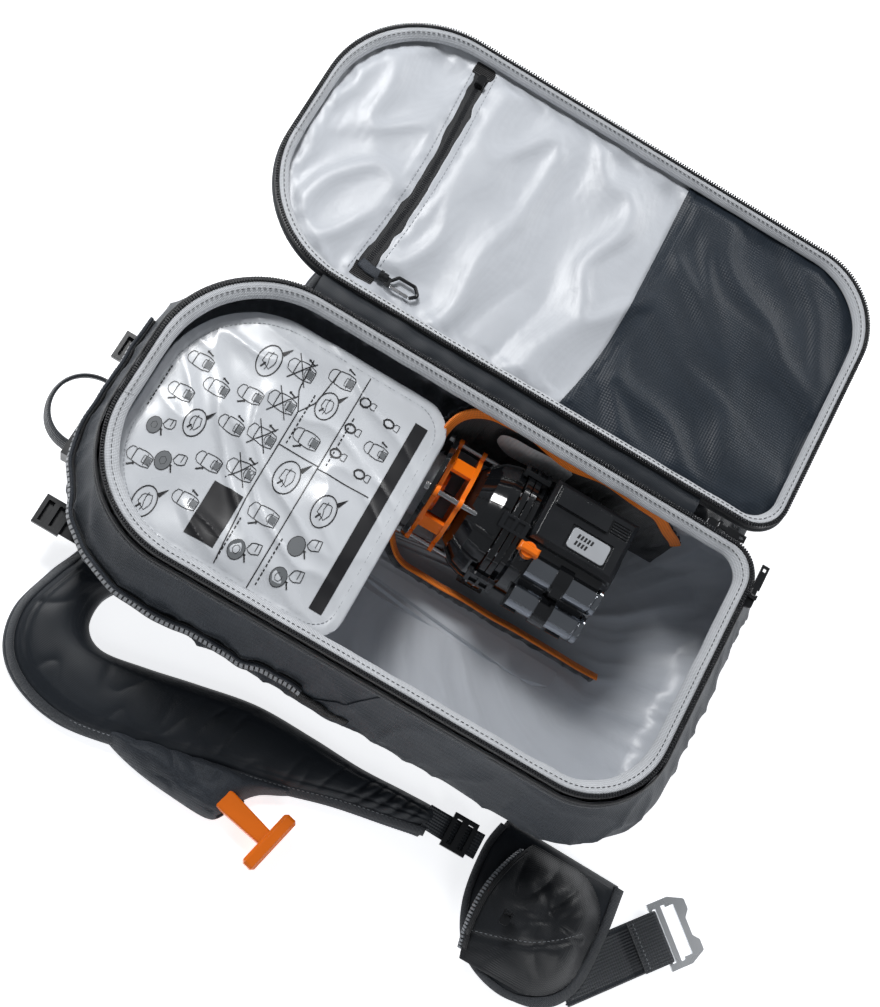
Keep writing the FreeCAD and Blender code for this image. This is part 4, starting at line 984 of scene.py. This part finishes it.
rows = [panel_ring(z, inset, 900) for inset, z in ((1.3, 153.0), (1.3 - 1.8, 154.0), (-1.5, 158.6),
                                                   (0.0, 159.6))]
surface("panel_storm_band", np.stack(rows, 1), TWILL, "front_panel", True)

PANEL = (-RIM_X, RIM_X, 150.0, 420.0)
PANEL_RADII = (TOP_R, FAR_R, NEAR_R, TOP_R)


def panel_gap(x, y):
    return rounded_gap(x, y, *PANEL, PANEL_RADII)


STEP = 4.0
nx, ny = int(536 / STEP) + 1, int(270 / STEP) + 1
gx, gy = (a.ravel() for a in np.meshgrid(np.arange(nx) * STEP - 268, np.arange(ny) * STEP + 150,
                                         indexing="ij"))
gap = panel_gap(gx, gy)


ZIP_LINE = [(-154, 172), (-151, 200), (-147, 250), (-146, 305), (-149, 360), (-151, 404)]
KEY_TAB = [(-150, 180), (-100, 181)]


def settle(seed, excess, low, high, direction, width):
    """Heights of the panel's lining cloth, held at its edge, the pocket zip and the key tab."""
    base = flat(gx, gy)
    start = 151.5 + perlin(base, 1 / 80, seed) * 3.5 + folds(base, direction, 190, width, seed + 1, 1.4) * 7
    held = (near_line(gx, gy, ZIP_LINE) < 5) | (near_line(gx, gy, KEY_TAB) < 9)
    start = np.where(gap < 12, 158 - np.clip(gap, 0, 12) * 0.5, start)
    start = np.where(held, 151.4, start)
    z = buckled(nx, ny, STEP, excess, start.reshape(nx, ny), ((gap < 12) | held).reshape(nx, ny), low, high)
    return field(z, -268, 150, STEP)


crumpled = settle(70.0, (0.03, 0.014), 146.5, 163.0, (0.42, 0.9, 0), 58)


def lining_height(x, y):
    g = panel_gap(x, y)
    seam = np.sin((x * 0.8 + y) / 3.1) * 0.5 * np.exp(-((g - 15) / 7) ** 2)
    seam += np.sin(y / 3.4) * 0.35 * np.exp(-((near_line(x, y, ZIP_LINE) - 11) / 4) ** 2)
    return crumpled(x, y) + seam


def split_x(y):
    return 60 - 13 * np.clip((240 - y) / 90, 0, 1) ** 1.5 + 3.5 * np.sin((y - 150) / 270 * math.pi)


back_lining = clipped("panel_lining_cloth", (-268, 66, 150, 420), 2.0, lambda x,
                      y: np.minimum(panel_gap(x, y) - 6, split_x(y) + 5 - x), lining_height, LINING,
                      "front_panel")
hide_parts("panel_lining")


def pocket_gap(x, y):
    return np.minimum(panel_gap(x, y) - 7, x - split_x(y))


soft = settle(90.0, (0.016, 0.012), 149.5, 158.0, (0.8, -0.6, 0), 60)


def pocket_height(x, y):
    free = np.clip((x - split_x(y)) / 22, 0, 1)
    hem = np.where((x - split_x(y)) < 7, 0.8, 0.0)
    return (soft(x, y) + 2.4) * free + (lining_height(x, y) + 1.4) * (1 - free) + hem


pocket = clipped("panel_pocket_cloth", (40, 268, 150, 420), 2.0, pocket_gap, pocket_height, POCKET,
                 "front_panel")
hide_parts("panel_pocket")

zip_line = smooth_line([(x, y, 152.2) for x, y in ZIP_LINE], 300)
zipped = strip("pocket_zip_tape", zip_line, 8.0, 1.2, TAPE, "front_panel")
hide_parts("pocket_zip_tape")
teeth("pocket_zip_coil", zip_line[18:-16] + np.array((0, 0, 0.75)), 2.0, (0.6, 2.0, 0.5), TOOTH,
      "front_panel")
for k, side in enumerate((-1, 1)):
    left = across_vectors(zip_line)
    edge = zip_line + left * side * 10.5
    edge[:, 2] = lining_height(edge[:, 0], edge[:, 1]) + 0.4
    stitches("pocket_zip_stitches_%d" % k, edge, THREAD_LIGHT, "front_panel", pitch=4.5,
             size=(1.3, 0.25, 0.2))
for k, (y0, y1) in enumerate(((168, 182), (398, 410))):
    end = resample([(-151, y0, 153.0), (-151, y1, 153.0)], 8)
    strip("pocket_zip_end_%d" % k, end, 11.0, 0.9, HOOK_TAPE, "front_panel")
tab = resample([(-158, 182, 153.8), (-148, 179.5, 154.6), (-137, 179, 155.2)], 16)
strip("key_tab", tab, 4.6, 1.6, STRAP_SIDE, "front_panel", crown=0.5)

# fold that carries the panel
cols = 150
x = np.linspace(-178, 196, cols)
rows = []
for t in np.linspace(0, 1, 11):
    y = 131.5 + t * 19
    z = 164.2 + math.sin(t * math.pi) * 1.6 + perlin(np.stack([x, np.full(cols, y), np.zeros(cols)], 1),
                                                     1 / 18, 33.0) * 1.1
    rows.append(np.stack([x, np.full(cols, y), z], 1))
fold = surface("panel_fold", np.stack(rows, 1), STRAP_FACE, None)
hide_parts("hinge_fold")
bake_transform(fold)

# ------------------------------------------------------------------ haul loop
t = np.linspace(math.pi / 2, 3 * math.pi / 2, 70)
arc = np.stack([-292 + 33.5 * np.cos(t), -36 + 33.5 * np.sin(t), 78 + 1.5 * np.sin(t * 3)], 1)
radial = np.stack([np.cos(t), np.sin(t), 0.25 + 0 * t], 1)
loop = strip("haul_loop_strap", arc, 8.6 - 2.2 * np.sin(t - math.pi / 2) ** 8, 2.6, WEBBING, "carry_loop",
             up=radial, crown=1.0)
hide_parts("haul_loop")

# ------------------------------------------------------------------ shoulder straps
OUTER = [(-232, -112), (-240, -134), (-249, -157), (-258, -196), (-248, -230), (-220, -252), (-176, -261),
         (-120, -252), (-56, -235), (4, -222),
         (62, -206), (112, -196), (142, -190)]
INNER = [(-176, -112), (-190, -134), (-203, -157), (-200, -182), (-180, -194), (-140, -188), (-94, -178),
         (-40, -168), (16, -168), (66, -170),
         (112, -168), (142, -168), (148, -176)]


def shoulder_strap(name, side, reach, body, node):
    """Foam pad, backing and edge binding of one strap; side is -1 near and 1 far."""
    n = 300

    def fit(p):
        q = np.array(p, float)
        q[:, 0] = 150 - (150 - q[:, 0]) * reach
        q[:, 1] *= -side
        return q
    outer = smooth_line(fit(np.c_[OUTER, [0] * len(OUTER)]), n)
    inner = smooth_line(fit(np.c_[INNER, [0] * len(INNER)]), n)

    def sewn(obj):
        """Bakes the object's placement into its mesh."""
        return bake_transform(obj)
    width = np.linalg.norm(inner - outer, axis=1)
    along = np.r_[0, np.cumsum(np.linalg.norm(np.diff((outer + inner) / 2, axis=0), axis=1))]
    along /= along[-1]
    s = np.r_[0, 0, 0.015, 0.045, 0.09, np.linspace(0.14, 0.86, 25), 0.91, 0.955, 0.985, 1, 1]
    rows = []
    for k, f in enumerate(s):
        p = outer + (inner - outer) * f
        if k in (0, len(s) - 1):
            top = np.full(n, 6.2)
        else:
            edge = np.minimum(f, 1 - f) * width
            top = 10.5 + 10.8 * (1 - np.exp(-np.clip(edge, 0, None) / 7.5)) + 2.2 * np.sin(math.pi * f)
            top -= 1.5 * np.exp(-((f * width - 13.0) / 1.5) ** 2)
            top -= 1.1 * np.exp(-(((1 - f) * width - 8.0) / 1.3) ** 2)
            puffs = np.clip((along - 0.83) / 0.03, 0, 1) * np.clip((0.985 - along) / 0.02, 0, 1)
            top += puffs * (np.abs(np.sin(along * 108)) * 3.4 - 2.4) * np.sin(math.pi * f)
            top += (perlin(p, 1 / 45, 71.0) * 1.1 + folds(p, (0.3, 1, 0), 60, 26, 73.0,
                                                          3.0) * -1.3) * min(1, 4 * min(f, 1 - f))
            top = np.where(along > 0.96, 7 + (top - 7) * np.sqrt(np.clip((1 - along) / 0.04, 0, 1) + 0.05),
                           top)
            top = np.minimum(top, 15.5 + 9 * np.clip((np.abs(p[:, 1]) - 124) / 34, 0, 1))
        q = p.copy()
        q[:, 2] = top
        rows.append(q)
    grid = np.stack(rows, 1)
    pad = sewn(surface(name, grid, STRAP_FACE, None, flip=side > 0))
    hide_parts(node)
    out = horizontal(outer - inner)
    # backing, a little wider on the outer side
    rows = []
    for dx, z in ((1.5, 9.5), (5.2, 7.6), (7.0, 4.5), (6.2, 1.6), (0, 1.0), (-12, 1.0)):
        q = outer + out * dx
        q[:, 2] = z + perlin(outer, 1 / 30, 77.0) * 0.5 + 0.5
        rows.append(q)
    rows += [inner * (1, 1, 0) + (0, 0, z) for z in (1.0, 6.5)]
    sewn(surface(name + "_backing", np.stack(rows[::-1], 1), STRAP_SIDE, None, flip=side > 0))
    band = outer + out * 0.6
    band[:, 2] = 11.8 - 4 * np.clip((140 - np.abs(outer[:, 1])) / 20, 0, 1)
    tilt = out * 0.75 + np.array((0, 0, 0.66))
    sewn(strip(name + "_binding", band, 4.6, 1.8, TWILL, None, up=tilt, crown=0.7))
    row = band + out * -2.8 + np.array((0, 0, 3.0))
    sewn(stitches(name + "_stitches", row, THREAD_LIGHT, None, up=tilt, pitch=4.2,
                  size=(1.1, 0.24, 0.3)))
    # webbing to the ladder lock and beyond
    web = smooth_line([(136, side * 178, 14), (150, side * 178, 11.6), (168, side * 178, 11),
                       (191, side * 178, 11.2)], 50)
    strip(name + "_webbing", web, np.linspace(11, 12, 50), 1.8, WEBBING, body)


shoulder_strap("strap_pad_near", -1, 1.0, "strap_near", "shoulder_strap_near")
shoulder_strap("strap_pad_far", 1, 0.84, "strap_far", "shoulder_strap_far")

# bulge on the near strap's outer edge that holds the handle
POUCH_LINE = smooth_line([(-152, -249, 0), (-132, -260, 0), (-100, -268, 0), (-62, -272, 0), (-30, -273, 0),
                          (-19, -266, 0),
                          (-13, -250, 0), (0, -234, 0), (22, -222, 0), (26, -214, 0), (0, -218, 0),
                          (-60, -228, 0),
                          (-110, -238, 0)], 160, True)
pouch_edge = np.vstack([POUCH_LINE, POUCH_LINE[:1]])[:, :2]


def pouch_height(x, y):
    g = np.clip(inside_gap(x, y, pouch_edge), 0, 40)
    p = flat(x, y)
    top = 4 + 24.5 * (1 - np.exp(-g / 6.5))
    inner = np.clip((y + 246) / 22, 0, 1)
    top = top * (1 - inner) + np.minimum(top, 23.0) * inner
    top -= folds(p, (1, -0.45, 0), 60, 14, 83.0, 2.0) * 3.6 * np.clip(g / 7, 0, 1)
    top += perlin(p, 1 / 22, 84.0) * 1.6 * np.clip(g / 7, 0, 1)
    top = np.maximum(top, 25.5 * np.clip(g / 9, 0, 1) * np.clip(1 - np.abs(x + 44) / 44, 0, 1) ** 0.3)
    right = np.clip((x + 14) / 22, 0, 1)
    return top * (1 - right) + np.minimum(top, 17.5) * right


pouch = clipped("handle_sleeve", (-156, 30, -276, -208), 1.6, lambda x, y: inside_gap(x, y, pouch_edge),
                pouch_height,
                STRAP_SIDE, "strap_near", 1.2)
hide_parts("handle_pouch")
hem = smooth_line([(-22, -268, 0), (-16, -258, 0), (-9, -244, 0)], 40)
hem[:, 2] = pouch_height(hem[:, 0], hem[:, 1]) + 0.5
tube_mesh("handle_sleeve_hem", hem, 1.5, TWILL, "strap_near", sides=8)

# ------------------------------------------------------------------ hip fins
FIN_LINE = [(204, -143), (198, -176), (204, -226), (226, -262), (266, -276), (304, -266), (322, -240),
            (324, -190), (320, -143)]


def fin(name, side, narrow, body, pad_node, pocket_node):
    def fx(x):
        return 204 + (np.asarray(x, float) - 204) * narrow

    outline = smooth_line([(fx(x), y, 0) for x, y in FIN_LINE], 300)
    outline[:, 1] *= -side
    closed = np.vstack([outline, outline[:1]])[:, :2]

    def gap(x, y):
        return inside_gap(x, y, closed, closed[::3])

    y0, y1 = (-280, -143) if side < 0 else (143, 280)
    area = (190, float(fx(330)), y0, y1)
    seam_y = -141.0 * -side

    def pad_height(x, y):
        g = np.clip(gap(x, y), 0, 60)
        away = np.clip(np.abs(y - seam_y) / 3, 0.7, 1)
        return 4.5 + 8.2 * (1 - np.exp(-g / 4.0)) * away - 0.9 * np.exp(-((g - 9) / 1.4) ** 2)

    pad = clipped(name + "_pad", area, 3.0, gap, pad_height, STRAP_FACE, body)
    clipped(name + "_under", area, 5.0, gap, lambda x, y: 3.2 + 0 * x, PAD, body)
    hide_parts(pad_node)
    rim = outline[6:-4].copy()
    rim[:, 2] = 7.4
    middle = np.array((float(fx(262)), 205.0 * side, 0))
    out = horizontal(rim - middle)
    half = 3.4 + 2.6 * np.clip((rim[:, 0] - fx(280)) / 20, 0, 1)
    strip(name + "_binding", rim + out * 0.2, half, 2.4, TWILL, body,
          up=out * 0.55 + np.array((0, 0, 0.83)), crown=0.9)

    # puffed pocket: open along its edge towards the top of the pack
    dimple = (float(fx(276)), 206.0 * side)
    seam_points = [(float(fx(x)), y * side) for x,
                   y in ((212, 250), (236, 244), (263, 235), (284, 222), (304, 205))]

    def mouth_x(y):
        t = (np.abs(y) - 215) / 42
        return fx(208 + 9 * t ** 2 - 3 * t)

    def bag_gap(x, y):
        corner = 44 * narrow ** 0.5
        return rounded_gap(x, y, 150, float(fx(319)), *sorted((side * 152.0, side * 270.0)),
                           (20, corner, corner, 20))

    def pocket_gap(x, y):
        return np.minimum(bag_gap(x, y), x - mouth_x(y))

    def pocket_height(x, y):
        g = np.clip(bag_gap(x, y), 0, 90)
        dome = 12.4 + 35.5 * (1 - np.exp(-(g / 21.0) ** 1.25))
        lower = 0.66 + 0.34 * np.clip((x - fx(206)) / (46 * narrow), 0, 1) ** 0.7
        dome = 12.4 + (dome - 12.4) * lower
        r = np.hypot(x - dimple[0], y - dimple[1])
        a = np.arctan2(y - dimple[1], x - dimple[0])
        dome -= 5.0 * np.exp(-(r / 18) ** 2)
        dome -= np.clip(np.cos(5 * a + 0.6 * np.sin(2 * a) + 0.8), 0,
                        1) ** 1.5 * 1.6 * np.exp(-((r - 24) / 22) ** 2)
        p = flat(x, y)
        dome += folds(p, (0.35, 1, 0), 110, 38, 95.0 + side, 1.5) * -4.5 * np.clip(g / 20, 0, 1)
        dome += perlin(p, 1 / 40, 97.0) * 1.8 * np.clip(g / 12, 0, 1)
        dome -= 2.0 * np.exp(-(near_line(x, y, seam_points) / 3.0) ** 2)
        return np.clip(dome, 12.4, 50.5)

    pocket = clipped(name + "_pocket", (float(fx(196)), float(fx(322)), y0, y1), 1.6, pocket_gap,
                     pocket_height, FIN, body, 1.4)
    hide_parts(pocket_node)
    ys = np.linspace(164, 262, 90) * side
    mouth = np.stack([mouth_x(ys) + 0.6, ys, pocket_height(mouth_x(ys) + 0.6, ys) + 0.6], 1)
    strip(name + "_mouth_tape", mouth, 5.0, 1.4, TAPE, body, up=np.array((-0.75, 0, 0.66)),
          crown=0.4)
    teeth(name + "_mouth_teeth", mouth + np.array((-2.2, 0, 0.0)), 3.2, (0.9, 1.9, 1.0), TOOTH_GREY, body,
          up=np.array((-0.75, 0, 0.66)))
    line = smooth_line([(x, y, 0) for x, y in seam_points], 90)
    line = line + across_vectors(line) * 3.2
    line[:, 2] = pocket_height(line[:, 0], line[:, 1]) + 0.4
    stitches(name + "_stitches", line, THREAD_LIGHT, body, pitch=4.0, size=(1.1, 0.2, 0.2))


fin("fin_near", -1, 1.0, "hip_fin_near", "fin_pad_near", "fin_pocket_near")
fin("fin_far", 1, 0.6, "hip_fin_far", "fin_pad_far", "fin_pocket_far")


def hip_webbing(name, start, direction, body, node):
    """Ribbed webbing laid flat, folded round the buckle's bar and sewn back on itself."""
    d = np.array((math.cos(math.radians(direction)), math.sin(math.radians(direction)), 0))
    left = np.array((-d[1], d[0], 0))
    bend = [(76 + 3.0 * math.sin(t), 4.7 - 3.0 * math.cos(t)) for t in np.linspace(0, math.pi, 16)]
    run = [(u, 1.7) for u in np.linspace(-26, 75, 44)] + bend + [(u,
                                                                  7.7 - 0.9 * (75 - u)
                                                                  / 24) for u in np.linspace(75, 50, 12)]
    p = np.array([np.array((start[0], start[1], 0)) + d * u + np.array((0, 0, z)) for u, z in run])
    wave = np.sin(np.arange(len(p)) / 7.0) * 0.3 * np.r_[np.ones(40), np.zeros(len(p) - 40)]
    p[:, 2] += wave * (p[:, 2] < 3)
    grid = ribbon_grid(p, 23.6, 1.7, (0, 0, 1), across=np.tile(left, (len(p), 1)))
    strap = surface(name, grid, WEBBING, body, closed_v=True, caps=True)
    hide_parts(node)
    for side in (-1, 1):
        edge = p[:44] + left * side * 20.5 + np.array((0, 0, 1.1))
        stitches(name + "_edge_%d" % (side > 0), edge, STRAP_SIDE, body, pitch=3.0,
                 size=(1.5, 0.8, 0.25))
    cross = np.array([p[43] + left * v + np.array((0, 0, 7.1)) - d * 20 for v in np.linspace(-20, 20, 20)])
    stitches(name + "_bar_tack", cross, THREAD_LIGHT, body, pitch=3.4, size=(1.1, 0.25, 0.25))


hip_webbing("hip_strap_near", (326, -224), 50, "hip_fin_near", "hip_webbing_near")
hip_webbing("hip_strap_far", (242, 250), 120, "hip_fin_far", "hip_webbing_far")

# status bars beside the window, raised from the label
lo, hi = (np.array(v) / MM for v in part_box("status_window"))
bars = []
for row in range(2):
    for k in range(5 - row):
        c = np.array((lo[0] + 7 + k * 3.2, hi[1] - 6 - row * 6.5, hi[2] + 0.1))
        bars.append((c, ((0.9, 0, 0), (0.35, 2.1, 0), (0, 0, 0.12))))
joined("status_bars", bars, INK, "pack_body")


# ------------------------------------------------------------------ camera, light and floor
def look(azimuth, elevation, roll):
    a, e, r = (math.radians(v) for v in (azimuth, elevation, roll))
    back = Vector((math.sin(a) * math.cos(e), -math.cos(a) * math.cos(e), math.sin(e)))
    right = Vector((math.cos(a), math.sin(a), 0))
    up = back.cross(right)
    x = right * math.cos(r) + up * math.sin(r)
    y = up * math.cos(r) - right * math.sin(r)
    return Matrix((x, y, back)).transposed(), back


turn, back = look(-10, 71, 40)
camera_data = bpy.data.cameras.new("camera")
camera_data.sensor_width = 36
camera_data.lens = 61.9
camera = bpy.data.objects.new("camera", camera_data)
camera.matrix_world = Matrix.Translation(Vector((0.007, 0.048, 0.1)) + back * 1.5) @ turn.to_4x4()
camera_data.clip_end = 20
bpy.context.scene.collection.objects.link(camera)
bpy.context.scene.camera = camera

floor = mesh_object("studio_floor", [(-6000, -6000, -0.5), (6000, -6000, -0.5), (6000, 6000, -0.5),
                                     (-6000, 6000, -0.5)],
                    [(0, 1, 2, 3)], plastic("floor_paper", (0.86, 0.865, 0.875), 0.8), None)
paper = floor.data.materials[0].node_tree.nodes["Principled BSDF"]
paper.inputs["Emission Color"].default_value = (0.97, 0.98, 1.0, 1)
paper.inputs["Emission Strength"].default_value = 0.8
floor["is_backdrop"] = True


def area_light(name, location, target, size, power):
    data = bpy.data.lights.new(name, "AREA")
    data.shape = "RECTANGLE"
    data.size, data.size_y = size
    data.energy = power
    light = bpy.data.objects.new(name, data)
    light.location = location
    light.rotation_euler = (Vector(target) - Vector(location)).to_track_quat("-Z", "Y").to_euler()
    bpy.context.scene.collection.objects.link(light)


area_light("key", (-1.0, 0.9, 1.7), (0, 0.1, 0.1), (0.55, 0.55), 33)
area_light("fill", (1.5, -1.4, 1.2), (0, 0, 0.1), (0.7, 1.2), 10)
area_light("rim", (0.9, 1.7, 1.0), (0, 0.1, 0.1), (1.4, 0.25), 16)
world = bpy.data.worlds.new("studio")
world.use_nodes = True
world.node_tree.nodes["Background"].inputs[0].default_value = (0.9, 0.94, 1.0, 1)
world.node_tree.nodes["Background"].inputs[1].default_value = 0.16
bpy.context.scene.world = world
bpy.context.scene.view_settings.view_transform = "Standard"

lo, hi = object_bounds()
